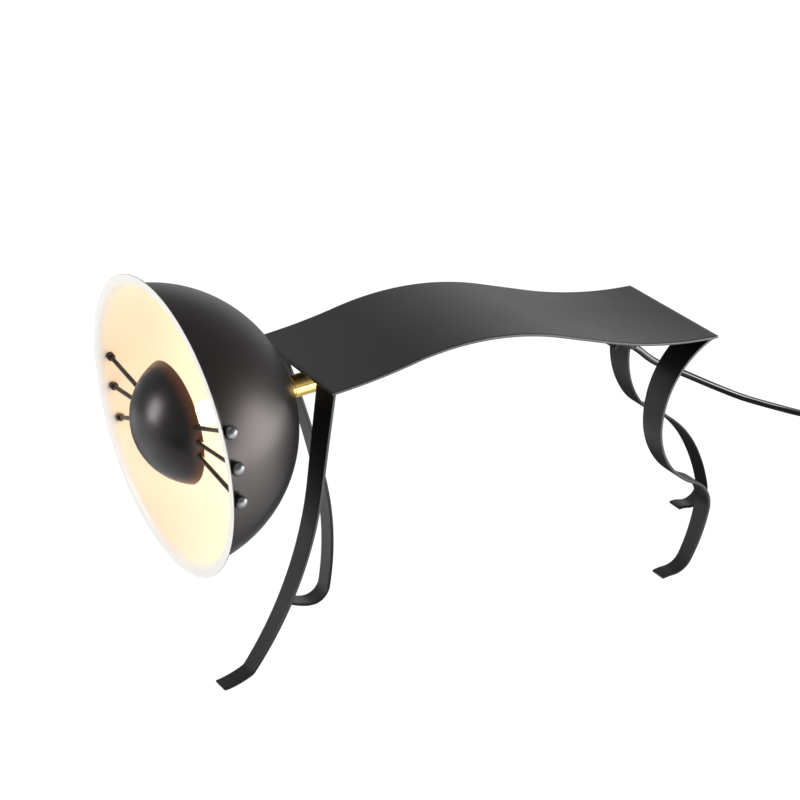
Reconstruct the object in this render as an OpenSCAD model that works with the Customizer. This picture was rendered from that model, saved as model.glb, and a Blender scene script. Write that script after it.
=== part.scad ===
// Cat table lamp: bent sheet body on four strip legs, bowl shade on a turning knuckle, corded plug.
// Millimetres, Z up, table at z = 0, head towards -X, the cat's left side towards -Y.

/* [Body plate] */
// From the middle of the lamp to the front edge of the plate
plate_front = 121.6; // [80:0.1:180]
// Height of the top face at the front edge
plate_height = 192.5; // [150:0.5:240]
// Width of the plate
plate_width = 110; // [80:1:140]
// Thickness of the plate and of the legs
sheet = 2; // [1.5:0.1:3]
// Slope of the plate at its front edge
plate_slope = 6; // [0:0.5:15]
// Lengths of the neck, back, loin and rump
plate_lengths = [60, 111.2, 37.6, 90]; // [20:0.1:150]
// Bends of the neck, back, loin and rump
plate_bends = [7.6, -30.3, 0, 17]; // [-45:0.1:45]

/* [Front left leg] */
// Distance of the weld from the front edge, along the plate
front_left_along = 3.1; // [2:0.1:20]
// Direction at the top, 270 is straight down
front_left_lean = 261.3; // [240:0.1:300]
// Lengths of upper leg, shin, ankle and toe
front_left_lengths = [65, 130.5, 2.2, 20.8]; // [1:0.1:160]
// Bends of upper leg, shin, ankle and toe
front_left_bends = [0.4, -29.8, -25, -18.8]; // [-120:0.1:120]
// Outer edge, from the middle
front_left_edge = 53; // [35:0.5:55]
// Width at the plate
front_left_top = 24; // [10:0.5:40]
// Width at the toe
front_left_toe = 13.5; // [8:0.5:30]

/* [Front right leg] */
// Distance of the weld from the front edge, along the plate
front_right_along = 4.7; // [2:0.1:20]
// Direction at the top, 270 is straight down
front_right_lean = 291.1; // [240:0.1:300]
// Lengths of upper leg, shin, ankle and toe
front_right_lengths = [105.8, 78.9, 20.7, 22.2]; // [1:0.1:160]
// Bends of upper leg, shin, ankle and toe
front_right_bends = [-8.6, -21.4, -92.1, -20.1]; // [-120:0.1:120]
// Outer edge, from the middle
front_right_edge = 41.5; // [35:0.5:55]
// Width at the plate
front_right_top = 20; // [10:0.5:40]
// Width at the toe
front_right_toe = 14; // [8:0.5:30]

/* [Rear left leg] */
// Distance of the weld from the front edge, along the plate
rear_left_along = 296.1; // [250:0.1:298]
// Direction at the top, 270 is straight down
rear_left_lean = 205.4; // [190:0.1:290]
// Lengths of thigh, knee and calf
rear_left_upper = [75.9, 58, 28.5]; // [5:0.1:120]
// Bends of thigh, knee and calf
rear_left_upper_bends = [63.2, 69.4, -80.4]; // [-120:0.1:120]
// Lengths of heel, foot and toe
rear_left_lower = [38, 16.7, 8.9]; // [2:0.1:80]
// Bends of heel, foot and toe
rear_left_lower_bends = [-18, -58.8, 14.4]; // [-130:0.1:120]
// Outer edge, from the middle
rear_left_edge = 53; // [35:0.5:55]
// Width at the plate
rear_left_top = 28.5; // [10:0.5:40]
// Width at the toe
rear_left_toe = 13; // [8:0.5:30]

/* [Rear right leg] */
// Distance of the weld from the front edge, along the plate
rear_right_along = 290.1; // [250:0.1:298]
// Direction at the top, 270 is straight down
rear_right_lean = 236.3; // [190:0.1:290]
// Lengths of thigh, knee and calf
rear_right_upper = [79, 18.9, 55.6]; // [5:0.1:120]
// Bends of thigh, knee and calf
rear_right_upper_bends = [69, 28.5, -35.5]; // [-120:0.1:120]
// Lengths of heel, foot and toe
rear_right_lower = [37.3, 24, 8.5]; // [2:0.1:80]
// Bends of heel, foot and toe
rear_right_lower_bends = [-15.6, -117.3, 23.5]; // [-130:0.1:120]
// Outer edge, from the middle
rear_right_edge = 47.7; // [35:0.5:55]
// Width at the plate
rear_right_top = 28; // [10:0.5:40]
// Width at the toe
rear_right_toe = 13; // [8:0.5:30]

/* [Shade] */
// Outer radius of the bowl
shade_radius = 93.2; // [70:0.1:120]
// Depth of the bowl from its back to the rim
shade_depth = 86.9; // [60:0.1:92]
// Thickness of the bowl
shade_sheet = 1.2; // [0.8:0.1:2]
// Width of the lip beyond the bowl
lip_width = 6.7; // [4:0.1:30]
// Flare where the bowl turns into the lip
lip_flare = 2.6; // [1:0.1:3]
// Thickness of the lip
lip_sheet = 1.2; // [0.8:0.1:2]
// Downward tilt of the head
head_tilt = 4.9; // [0:0.1:15]
// Turn of bracket and head to the cat's left
head_yaw = 1.35; // [-5:0.05:5]

/* [Nose and whiskers] */
// Outer radius of the nose dome
nose_radius = 44.5; // [30:0.5:60]
// Centre of the nose dome behind the rim
nose_back = 27.1; // [10:0.1:40]
// Open edge of the nose dome behind the rim
nose_edge = 10.5; // [8:0.5:20]
// Thickness of the nose dome
nose_sheet = 1.2; // [0.8:0.1:2]
// Rod diameter
rod_d = 3; // [2:0.1:5]
// Rods behind the rim
rod_back = 7; // [6:0.5:7]
// Angle between neighbouring rods
rod_step = 14; // [8:0.5:25]
// Turn of the whole whisker pattern
rod_roll = 4; // [-10:0.5:10]
// Reach of the rods inside the nose dome, from its inner face
rod_inside = 4.5; // [3:0.5:10]
// Head diameter of the outer nuts
cap_d = 9; // [7:0.5:9]
// Neck diameter of the outer nuts
cap_neck_d = 6; // [4.5:0.5:8]
// Neck length of the outer nuts
cap_neck = 2; // [1:0.5:5]
// Height of the cap on its neck
cap_height = 5.6; // [4:0.2:10]
// Diameter of the inner nuts
collar_d = 5.4; // [4.5:0.1:8]
// Length of the inner nuts
collar_length = 3.4; // [2:0.1:6]
// Width across flats of the nuts in the dome
dome_nut_flats = 5.5; // [4.5:0.1:6]
// Length of the nuts in the dome
dome_nut_length = 3; // [2:0.1:5]

/* [Swivel] */
// Knuckle pivot behind the plate's front edge
pivot_back = 20.5; // [14:0.5:22]
// Knuckle pivot below the plate's front edge
pivot_drop = 14.9; // [13:0.1:30]
// Pivot to the back of the bowl
pivot_gap = 27.7; // [24:0.1:40]
// Radius of the brass sleeve and hub
sleeve_radius = 7.6; // [7:0.1:8.5]
// Hub in front of its groove
groove_back = 3.5; // [2:0.1:6]
// Width of the hub's groove
groove_width = 1.6; // [0.8:0.1:3]
// Depth of the hub's groove
groove_depth = 0.7; // [0.3:0.1:1.2]
// Radius of the rounded knuckle
knuckle_radius = 6.8; // [5.5:0.1:10]
// Space between knuckle and hub
knuckle_clear = 0.4; // [0.3:0.05:1]
// Thickness of the tongue
tongue = 5; // [3:0.1:7]
// Side clearance of the tongue
tongue_clear = 0.1; // [0.05:0.01:0.3]
// Radius of the knuckle pin
pin_radius = 2; // [1.5:0.1:2.5]
// Running clearance of pin and stem
running_clear = 0.05; // [0.01:0.01:0.1]
// Radius of the turning collar
collar_radius = 9; // [8:0.1:10.5]
// Thickness of the turning collar
collar_sheet = 4; // [3.5:0.1:6]
// Radius of the threaded stem and of the nipple
stem_radius = 5; // [4:0.1:5.5]
// Radius of the bore in stem and nipple
stem_bore = 3.25; // [2.6:0.05:3.5]
// Thickness of the rear washer
washer_sheet = 1.2; // [0.8:0.1:2]
// Radius of the rear washer
washer_radius = 8.5; // [7:0.1:10]
// Width across flats of the stem nut and the shade nut
nut_flats = 14; // [12:0.5:17]
// Thickness of the stem nut
nut_sheet = 5; // [3:0.1:8]
// Clearance between turning faces
face_clear = 0.1; // [0.05:0.01:0.3]
// Turn to either side
turn_range = 45; // [10:1:80]
// Radius of the stop pin
stop_radius = 1; // [0.6:0.1:1.2]

/* [Bracket and cord anchor] */
// Front of the bracket's flange, along the plate
bracket_along = 41; // [38:0.5:41]
// Width of the bracket
bracket_width = 22; // [20:0.5:40]
// Thickness of bracket and anchor
bracket_sheet = 2; // [1.5:0.1:3]
// Inside bend radius of bracket and anchor
bracket_bend = 3; // [2:0.1:5]
// Length of the bracket's flange
bracket_flange = 19; // [10:0.5:20]
// Front of the anchor's flange, along the plate
anchor_along = 260.7; // [240:0.1:265]
// Width of the anchor
anchor_width = 18; // [14:0.5:30]
// Length of the anchor's flange
anchor_flange = 16; // [8:0.5:25]
// Anchor hole below the bend
anchor_hole = 8.6; // [7:0.1:15]
// Anchor tab below the hole
anchor_below = 9; // [7:0.1:15]

/* [Lamp] */
// Thickness of the washer between hub and bowl
shade_washer_sheet = 1.5; // [1:0.1:3]
// Radius of the washer between hub and bowl
shade_washer_radius = 9; // [7.5:0.1:14]
// Thickness of the nut in the bowl
shade_nut_sheet = 4; // [3:0.1:6]
// Diameter of the lamp holder
holder_d = 19.5; // [18:0.1:26]
// Length of the lamp holder
holder_length = 26; // [22:0.5:32]
// Width of the bulb's foot
foot_width = 13.6; // [10:0.1:15]
// Thickness of the bulb's foot
foot_sheet = 7.6; // [5:0.1:9]
// Depth of the foot in the holder
foot_depth = 12; // [6:0.5:14]
// Foot standing out of the holder
foot_out = 3; // [1:0.1:8]
// Diameter of the bulb
bulb_d = 16; // [14:0.1:20]
// Length of the bulb above its foot
bulb_length = 28; // [20:0.5:34]

/* [Cord] */
// Diameter of the cord
cord_d = 5; // [4:0.1:6]
// Space between cord and plate
cord_space = 0.3; // [0.2:0.05:1]
// Direction in which the cord leaves the lamp
exit_slope = -38; // [-50:0.5:-30]
// Where the cord leaves the plate, before the anchor
cord_leaves = 36; // [30:1:45]
// Where the cord reaches the plate, along it
cord_joins = 118; // [110:1:140]
// Tapered length of the strain relief
relief_length = 17; // [14:0.5:40]
// Radius of the strain relief's head
relief_head = 6; // [5.5:0.1:8]
// Radius of the strain relief at the tab
relief_root = 5.4; // [5:0.1:7]
// Radius of the strain relief's neck in the tab
relief_neck = 4.5; // [3.5:0.1:5]
// Radius of the strain relief at its tip
relief_tip = 3.4; // [3.2:0.1:5]
// Length of a cord clip
clip_length = 9; // [5:0.5:20]
// Thickness of a cord clip
clip_sheet = 0.8; // [0.5:0.1:1.5]
// Foot of a cord clip beside the cord
clip_foot = 5; // [3:0.5:10]
// Inner radius of the coil
coil_inner = 21.4; // [21.4:0.1:30]
// Distance between neighbouring turns
coil_pitch = 5.5; // [5.5:0.1:8]
// Turns in each layer
coil_turns = 3; // [1:1:4]
// Cord between the coil and the plug
coil_tail = 70; // [20:1:80]
// Thickness of the tie
tie_sheet = 1; // [0.6:0.1:2]
// Width of the tie
tie_width = 9; // [5:0.5:20]

/* [Switch and plug] */
// Length of the switch
switch_length = 64; // [50:1:90]
// Width of the switch
switch_width = 26; // [20:0.5:35]
// Height of the switch's lower half
switch_base_height = 7; // [5:0.1:10]
// Height of the switch's upper half
switch_cover_height = 9; // [8:0.1:14]
// Corner radius of the switch
switch_corner = 8; // [3:0.5:10]
// Half length of the rocker
rocker_radius = 9.7; // [7:0.1:11]
// Width of the rocker
rocker_width = 12; // [8:0.1:14]
// Space around the rocker
rocker_clear = 0.3; // [0.3:0.05:0.6]
// Angle between the rocker's two positions
rocker_angle = 14; // [8:1:18]
// Trunnion radius of the rocker
trunnion = 1.5; // [1:0.1:2]
// Length of the plug
plug_length = 40; // [30:1:55]
// Width of the plug
plug_width = 30; // [26:0.5:40]
// Spacing of the plug's pins
plug_spacing = 19; // [16:0.5:20]
// Diameter of the plug's pins
plug_pin_d = 4; // [3.5:0.1:5]
// Length of the plug's pins
plug_pin_length = 19; // [15:0.5:22]

/* [Hidden] */
$fn = 96;

// A place on a bent strip is [x, z, direction in degrees].
function arc_end(s, run, bend) = bend == 0
    ? [s.x + run * cos(s.z), s.y + run * sin(s.z), s.z]
    : let (r = run * 180 / (PI * bend))
        [s.x + r * (sin(s.z + bend) - sin(s.z)), s.y + r * (cos(s.z) - cos(s.z + bend)), s.z + bend];
function places(s, runs, bends, i = 0) = i == len(runs)
    ? [s]
    : concat([s], places(arc_end(s, runs[i], bends[i]), runs, bends, i + 1));
function way_points(s, runs, bends) = let (p = places(s, runs, bends)) concat(
    [for (i = [0 : len(runs) - 1])
        let (n = max(1, ceil(abs(bends[i]) / 2.5)))
            for (k = [0 : n - 1]) arc_end(p[i], runs[i] * k / n, bends[i] * k / n)],
    [p[len(runs)]]);
function along(s, runs, bends, d, i = 0) = d <= runs[i] || i == len(runs) - 1
    ? arc_end(s, d, bends[i] * d / runs[i])
    : along(arc_end(s, runs[i], bends[i]), runs, bends, d - runs[i], i + 1);
function right_of(s, u) = [s.x + u * sin(s.z), s.y - u * cos(s.z), s.z];
function unit(v) = v / norm(v);
function ease(u) = u * u * (3 - 2 * u);
// Two arcs that join one place to another without a kink, as [lengths, bends].
function two_arcs(a, b) = let (
    ta = [cos(a.z), sin(a.z)],
    tb = [cos(b.z), sin(b.z)],
    v = [b.x - a.x, b.y - a.y],
    vt = v * (ta + tb),
    q = 1 - ta * tb,
    d = (sqrt(vt * vt + 2 * q * (v * v)) - vt) / (2 * q),
    j = ([a.x, a.y] + d * ta + [b.x, b.y] - d * tb) / 2,
    c1 = j - [a.x, a.y],
    c2 = [b.x, b.y] - j,
    b1 = 2 * (atan2(c1.y, c1.x) - a.z),
    b2 = 2 * (b.z - atan2(c2.y, c2.x)))
    [[norm(c1) * b1 * PI / 360 / sin(b1 / 2), norm(c2) * b2 * PI / 360 / sin(b2 / 2)], [b1, b2]];

plate_start = [-plate_front, plate_height, plate_slope];
function plate_at(d) = along(plate_start, plate_lengths, plate_bends, d);
leg_extra = 6;
trim_extra = 20;
trim_up = 60;
far = 2 * (plate_front + plate_lengths[1] + plate_lengths[3]);
overlap = 0.3;
past = 1;

pivot_x = pivot_back - plate_front;
pivot_height = plate_height - pivot_drop;
pivot_place = [pivot_x, pivot_height, head_tilt];
shade_center = pivot_gap + shade_radius;
rim = pivot_gap + shade_depth;
// The turned head keeps the middle of its rim over the middle of the plate.
pivot_side = rim * cos(head_tilt) * sin(head_yaw);
hub_front = pivot_gap - shade_washer_sheet;
shade_inner = shade_radius - shade_sheet;
nose_center = rim - nose_back;
nose_inner = nose_radius - nose_sheet;
rod_plane = rim - rod_back;
rod_at_bowl = sqrt(pow(shade_radius, 2) - pow(shade_center - rod_plane, 2));
rod_at_inner = sqrt(pow(shade_inner, 2) - pow(shade_center - rod_plane, 2));
rod_at_nose = sqrt(pow(nose_inner, 2) - pow(rod_plane - nose_center, 2));
hole_clear = 0.1;
rod_hole = rod_d / 2 + hole_clear;
eye_radius = knuckle_radius - 1.3;
nipple_depth = 5;
stem_past_nut = 2;
stem_solid = 12;
hub_back = 4;
fork_root = 2;
slot_floor = 0.6;
pin_slot = [1.2, 0.8];
nipple_in_holder = 6;
lip_radius = shade_radius + lip_width;
flare_back = rim - lip_sheet - lip_flare;
flare_root = sqrt(pow(shade_radius, 2) - pow(shade_center - flare_back, 2)) - overlap;
flare_inside = flare_root - shade_sheet * sqrt(2);
flare_cut = lip_flare + lip_sheet + past;
groove_at = hub_front - groove_back - groove_width;
holder_back = pivot_gap + shade_sheet + shade_nut_sheet;
holder_front = holder_back + holder_length;
foot_back = holder_front - foot_depth;
foot_front = holder_front + foot_out;
cap_ball = 0.62 * cap_d;
rod_in_cap = 2;

// Bracket: tab square to the swivel's axis, bend, flange along the plate.
half_sheet = bracket_sheet / 2;
bend_radius = bracket_bend + half_sheet;
bracket_under = sheet + overlap + half_sheet;
bracket_place = right_of(plate_at(bracket_along), bracket_under);
bracket_up = 90 + head_tilt;
bracket_turn = bracket_place.z - bracket_up;
bracket_run = bend_radius * abs(bracket_turn) * PI / 180;
bracket_top = [
    bracket_place.x + bend_radius * (sin(bracket_place.z) - sin(bracket_up)),
    bracket_place.y + bend_radius * (cos(bracket_up) - cos(bracket_place.z)),
    bracket_up];
tab_back = (bracket_top.x - pivot_x) * cos(head_tilt) + (bracket_top.y - pivot_height) * sin(head_tilt);
tab_rise = (bracket_top.y - pivot_height) * cos(head_tilt) - (bracket_top.x - pivot_x) * sin(head_tilt);
neck_rate = plate_bends[0] / plate_lengths[0];
neck_radius = 180 / (PI * neck_rate);
flange_bend = neck_rate * bracket_flange;
flange_run = bracket_flange * (neck_radius + bracket_under) / neck_radius;
tab_front = tab_back - half_sheet;
tab_rear = tab_back + half_sheet;
collar_rear = tab_front - face_clear;
washer_front = tab_rear + face_clear;
nut_front = washer_front + washer_sheet;
stem_end = nut_front + nut_sheet + stem_past_nut;
stop_place = collar_radius - 2;
stop_groove = stop_radius + overlap;
stop_depth = collar_sheet - past;
stop_short = 0.5;

// Anchor: tab square to the cord where it leaves.
anchor_place = right_of(plate_at(anchor_along), sheet + half_sheet);
anchor_up = exit_slope + 90;
anchor_turn = anchor_place.z - anchor_up;
anchor_run = bend_radius * abs(anchor_turn) * PI / 180;
anchor_top = [
    anchor_place.x + bend_radius * (sin(anchor_place.z) - sin(anchor_up)),
    anchor_place.y + bend_radius * (cos(anchor_up) - cos(anchor_place.z)),
    anchor_up];
anchor_center = [
    anchor_top.x - anchor_hole * cos(anchor_up),
    anchor_top.y - anchor_hole * sin(anchor_up),
    exit_slope];
rump_rate = plate_bends[3] / plate_lengths[3];
rump_radius = 180 / (PI * rump_rate);
anchor_flange_bend = rump_rate * anchor_flange;
anchor_flange_run = anchor_flange * (rump_radius + sheet + half_sheet) / rump_radius;
relief_head_sheet = 3;
relief_front = half_sheet + relief_head_sheet;
exit_place = arc_end(anchor_center, half_sheet + relief_length, 0);

// Cord held under the plate, from the stem to the tip of the strain relief.
// A run beside the plate is shorter or longer than the plate's own arc.
function beside(i, part) = part * (plate_lengths[i] + cord_below * plate_bends[i] * PI / 180);
function plate_before(i) = i == 0 ? 0 : plate_before(i - 1) + plate_lengths[i - 1];
// Part of a plate bend that lies between two distances along the plate.
function shared(i, from, to) =
    max(0, min(to, plate_before(i) + plate_lengths[i]) - max(from, plate_before(i))) / plate_lengths[i];
cord_radius = cord_d / 2;
cord_below = sheet + cord_space + cord_radius;
cord_in_stem = 5;
cord_start = arc_end(pivot_place, stem_end - cord_in_stem, 0);
cord_straight = cord_in_stem + 2 * stem_past_nut;
cord_a = arc_end(cord_start, cord_straight, 0);
cord_b = right_of(plate_at(cord_joins), cord_below);
cord_rise = two_arcs(cord_a, cord_b);
back_rate = plate_bends[1] / plate_lengths[1];
back_radius = 180 / (PI * abs(back_rate));
cord_c = right_of(plate_at(plate_lengths[0] + plate_lengths[1]), cord_below);
first_clip = 4;
second_clip = 12;
plate_parts = [for (i = [0 : len(plate_lengths) - 1]) shared(i, cord_joins, anchor_along - cord_leaves)];
cord_e = right_of(plate_at(anchor_along - cord_leaves), cord_below);
relief_straight = 2;
cord_f = arc_end(anchor_center, -relief_front - relief_straight, 0);
cord_drop = two_arcs(cord_e, cord_f);
last_run = relief_straight + relief_front + half_sheet + relief_length;
all_runs = concat([cord_straight], cord_rise[0],
    [for (i = [0 : len(plate_parts) - 1]) beside(i, plate_parts[i])], cord_drop[0], [last_run]);
all_bends = concat([0], cord_rise[1], [for (i = [0 : len(plate_parts) - 1]) plate_bends[i] * plate_parts[i]],
    cord_drop[1], [0]);
body_runs = [for (i = [0 : len(all_runs) - 1]) if (all_runs[i] > 0) all_runs[i]];
body_bends = [for (i = [0 : len(all_runs) - 1]) if (all_runs[i] > 0) all_bends[i]];
// The stem is turned sideways with the head; the cord comes back to the middle on its way to the plate.
function cord_side(x) = (pivot_side + tan(head_yaw) * (x - pivot_x))
    * (1 - ease(min(1, max(0, (x - cord_a.x) / (cord_b.x - cord_a.x)))));

// Coil, tie, switch and plug lie on the table beyond the cord's landing.
tie_room = 0.8;
coil_lift = tie_sheet;
coil_low = coil_lift + cord_radius;
coil_high = coil_low + coil_pitch;
coil_outer = coil_inner + coil_pitch * coil_turns;
switch_x = 478;
switch_y = 46;
coil_x = switch_x - coil_outer;
coil_y = -80;
coil_in_end = 6;
switch_entry = 7;
coil_steps = 24;
coil_half = coil_turns * coil_steps;
function coil_r(i) = i <= coil_half
    ? coil_outer - coil_pitch * i / coil_steps
    : i >= coil_half + coil_steps / 2
        ? coil_inner + coil_pitch * (i - coil_half - coil_steps / 2) / coil_steps
        : coil_inner - coil_pitch / 4 * (1 - abs(1 - 2 * (i - coil_half) / (coil_steps / 2)));
function coil_z(i) = coil_low + coil_pitch * ease(min(1, max(0, (i - coil_half) / (coil_steps / 2))));
coil_last = 2 * coil_half + coil_steps / 4;
coil_end = [coil_x, coil_y - coil_r(coil_last), coil_high];
coil_turned = [for (i = [0 : coil_last])
    let (a = -360 * i / coil_steps)
        [coil_x + coil_r(i) * cos(a), coil_y + coil_r(i) * sin(a), coil_z(i)]];
coil_points = concat(
    [[switch_x, coil_y + coil_in_end, coil_low], [switch_x, coil_y + coil_in_end - past, coil_low]],
    coil_turned,
    [for (k = [1 : 3]) coil_end - [coil_tail * k / 3, 0, 0]]);
coil_gap = min([for (i = [0 : coil_last - coil_steps / 2])
    min([for (j = [i + coil_steps / 2 : coil_last]) norm(coil_turned[i] - coil_turned[j])])]) - cord_d;

rocker_top = 2.5;
rocker_low = 3;
rocker_axis = switch_base_height + switch_cover_height - rocker_top;
trunnion_reach = rocker_width / 2 + rocker_top;
trunnion_room = 2 * (trunnion_reach + overlap);
pocket_floor = 0.8;
plug_neck = 6;
plug_shoulder = 0.35 * plug_length;

// The free cord falls from the strain relief, lands, turns and runs into the switch.
exit_point = [exit_place.x, 0, exit_place.y];
exit_way = [cos(exit_slope), 0, sin(exit_slope)];
lead_in = 7;
run_points = [
    exit_point,
    exit_point + lead_in * exit_way,
    [160, 2, 139],
    [190, 9, 121.5],
    [224, 20, 101],
    [256, 33, 82],
    [283, 46, 67],
    [313, 60, 51],
    [344, 76, 34.5],
    [374, 91, 20],
    [404, 104.5, 9],
    [430, 115, 3.6],
    [447, 117.5, 2.6],
    [463, 113, 2.6],
    [474, 101, 3.6],
    [478, 90, 6],
    [switch_x, switch_y + switch_length / 2 + lead_in, switch_entry],
    [switch_x, switch_y + switch_length / 2, switch_entry]];
link_points = [
    [switch_x, switch_y - switch_length / 2, switch_entry],
    [switch_x, switch_y - switch_length / 2 - lead_in, switch_entry],
    [switch_x, coil_y + coil_in_end + lead_in, coil_low],
    [switch_x, coil_y + coil_in_end, coil_low]];
// Extra rings between hand-chosen points, on a smooth curve through them.
function curve_point(p, i, t) = let (
    a = p[max(i - 1, 0)],
    b = p[i],
    c = p[i + 1],
    d = p[min(i + 2, len(p) - 1)])
    0.5 * (2 * b + (c - a) * t + (2 * a - 5 * b + 4 * c - d) * pow(t, 2)
        + (3 * b - a - 3 * c + d) * pow(t, 3));
function curve(p, step) = concat(
    [for (i = [0 : len(p) - 2])
        let (n = i == 0 || i == len(p) - 2 ? 1 : max(1, round(norm(p[i + 1] - p[i]) / step)))
            for (k = [0 : n - 1]) curve_point(p, i, k / n)],
    [p[len(p) - 1]]);
function path_length(p) = len(p) < 2 ? 0 : sum_of([for (i = [1 : len(p) - 1]) norm(p[i] - p[i - 1])]);
function sum_of(v) = v * [for (x = v) 1];
// Space between points along the free cord
run_step = 14;
link_step = 12;
run_curve = curve(run_points, run_step);
link_curve = curve(link_points, link_step);
echo(coil_least_gap = coil_gap);
echo(cord_length = path_length(run_curve) + switch_length + path_length(link_curve)
    + path_length(coil_points));

// Sweeps a flat outline along one bend: its x runs to the right of the way, its y across the strip.
module bend_sweep(s, run, bend) {
    if (bend == 0)
        translate([s.x, 0, s.y])
            rotate([0, 90 - s.z, 0])
                linear_extrude(run)
                    children();
    else {
        r = run * 180 / (PI * bend);
        translate([s.x - r * sin(s.z), 0, s.y + r * cos(s.z)])
            rotate([90, 0, 0])
                rotate([0, 0, bend > 0 ? s.z - 90 : s.z + 90 + bend])
                    rotate_extrude(angle = abs(bend))
                        translate([abs(r), 0])
                            if (bend > 0)
                                children();
                            else
                                mirror([1, 0])
                                    children();
    }
}

// A bent strip between two distances to the right of its way.
module strip(s, runs, bends, from, to, width) {
    p = way_points(s, runs, bends);
    n = len(p);
    rotate([90, 0, 0])
        linear_extrude(width, center = true)
            polygon(concat([for (q = p) let (e = right_of(q, from)) [e.x, e.y]],
                [for (i = [n - 1 : -1 : 0]) let (e = right_of(p[i], to)) [e.x, e.y]]));
}

// All that lies above the plate's lower face, and a little beyond its two ends.
module over_plate() {
    strip(arc_end(plate_start, -trim_extra, 0), concat([trim_extra], plate_lengths, [trim_extra]),
        concat([0], plate_bends, [0]), -trim_up, sheet, 2 * plate_width);
}

// Side is -1 for the left and 1 for the right.
module leg(place, lean, runs, bends, side, edge, top, toe) {
    at = right_of(plate_at(place), sheet);
    start = arc_end([at.x, at.y, lean], -leg_extra, 0);
    over = plate_height + trim_extra;
    over_width = toe + (top - toe) * over / plate_height;
    difference() {
        intersection() {
            strip(start, concat([leg_extra], runs), concat([0], bends),
                -sheet / 2, sheet / 2, 2 * plate_width);
            translate([-far / 2, 0, 0])
                rotate([90, 0, 90])
                    linear_extrude(far)
                        polygon([[side * edge, 0], [side * edge, over],
                            [side * (edge - over_width), over], [side * (edge - toe), 0]]);
        }
        over_plate();
    }
}

// Turns what is drawn straight ahead to the head's own direction.
module turned() {
    translate([pivot_x, pivot_side, 0])
        rotate([0, 0, head_yaw])
            translate([-pivot_x, 0, 0])
                children();
}

// Head frame: origin at the knuckle pivot, Z towards the rim, X up, Y across.
module head() {
    turned()
        translate([pivot_x, 0, pivot_height])
            rotate([0, -90 - head_tilt, 0])
                children();
}

module each_whisker() {
    for (side = [-90, 90])
        for (k = [-1, 0, 1])
            translate([0, 0, rod_plane])
                rotate([0, 0, side + rod_roll + k * rod_step])
                    rotate([0, 90, 0])
                        children();
}

module rod(from, to, r) {
    translate([0, 0, from])
        cylinder(r = r, h = to - from);
}

module bowl_ball(r) {
    translate([0, 0, shade_center])
        sphere(r, $fn = 360);
}

module nose_ball(r) {
    translate([0, 0, nose_center])
        sphere(r, $fn = 360);
}

module across(r, length) {
    rotate([90, 0, 0])
        cylinder(r = r, h = length, center = true);
}

module hexagon(flats, height) {
    cylinder(r = flats / 2 / cos(30), h = height, $fn = 6);
}

module rounded(width, length, corner) {
    square([width - 2 * corner, length], center = true);
    square([width, length - 2 * corner], center = true);
    for (x = [-1, 1], y = [-1, 1])
        translate([x * (width / 2 - corner), y * (length / 2 - corner)])
            circle(corner);
}

// A round tube through the given points.
module tube(p, d, sides) {
    n = len(p);
    way = [for (i = [0 : n - 1])
        i == 0 ? unit(p[1] - p[0]) : i == n - 1 ? unit(p[n - 1] - p[n - 2]) : unit(p[i + 1] - p[i - 1])];
    rings = [for (i = [0 : n - 1])
        let (a = unit(cross(way[i], [0, 0, 1])), b = cross(a, way[i]))
            for (k = [0 : sides - 1])
                p[i] + d / 2 * (cos(360 * k / sides) * a + sin(360 * k / sides) * b)];
    walls = [for (i = [0 : n - 2], k = [0 : sides - 1])
        let (m = (k + 1) % sides)
            each [[i * sides + k, (i + 1) * sides + k, (i + 1) * sides + m],
                [i * sides + k, (i + 1) * sides + m, i * sides + m]]];
    polyhedron(rings, concat([[for (k = [0 : sides - 1]) k]], walls,
        [[for (k = [sides - 1 : -1 : 0]) (n - 1) * sides + k]]));
}

module back_plate() {
    color("dimgray")
        strip(plate_start, plate_lengths, plate_bends, 0, sheet, plate_width);
}

module front_left_leg() {
    color("dimgray")
        leg(front_left_along, front_left_lean, front_left_lengths, front_left_bends,
            -1, front_left_edge, front_left_top, front_left_toe);
}

module front_right_leg() {
    color("dimgray")
        leg(front_right_along, front_right_lean, front_right_lengths, front_right_bends,
            1, front_right_edge, front_right_top, front_right_toe);
}

module rear_left_leg() {
    color("dimgray")
        leg(rear_left_along, rear_left_lean, concat(rear_left_upper, rear_left_lower),
            concat(rear_left_upper_bends, rear_left_lower_bends),
            -1, rear_left_edge, rear_left_top, rear_left_toe);
}

module rear_right_leg() {
    color("dimgray")
        leg(rear_right_along, rear_right_lean, concat(rear_right_upper, rear_right_lower),
            concat(rear_right_upper_bends, rear_right_lower_bends),
            1, rear_right_edge, rear_right_top, rear_right_toe);
}

module swivel_bracket() {
    end = bracket_width / 2 + past;
    tab = tab_rise + end + past;
    deep = 2 * bracket_bend + bracket_sheet;
    color("gray")
        difference() {
            turned() {
                strip(arc_end(bracket_top, -tab, 0), [tab, bracket_run, flange_run],
                    [0, bracket_turn, flange_bend], -half_sheet, half_sheet, bracket_width);
                strip(bracket_place, [flange_run], [flange_bend], -half_sheet - 2 * overlap, 0, bracket_width);
            }
            over_plate();
            head()
                translate([0, 0, -tab_back - deep / 2]) {
                    cylinder(r = stem_radius + running_clear, h = deep);
                    translate([-stop_place, 0, 0])
                        cylinder(r = stop_radius, h = deep);
                    difference() {
                        translate([-2 * end, -2 * end, 0])
                            cube([2 * end, 4 * end, deep]);
                        translate([0, 0, -past])
                            cylinder(r = end, h = deep + 2 * past);
                    }
                }
        }
}

module turn_stop_pin() {
    color("silver")
        head()
            translate([-stop_place, 0, -tab_rear])
                cylinder(r = stop_radius, h = bracket_sheet + face_clear + stop_depth - stop_short);
}

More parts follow.
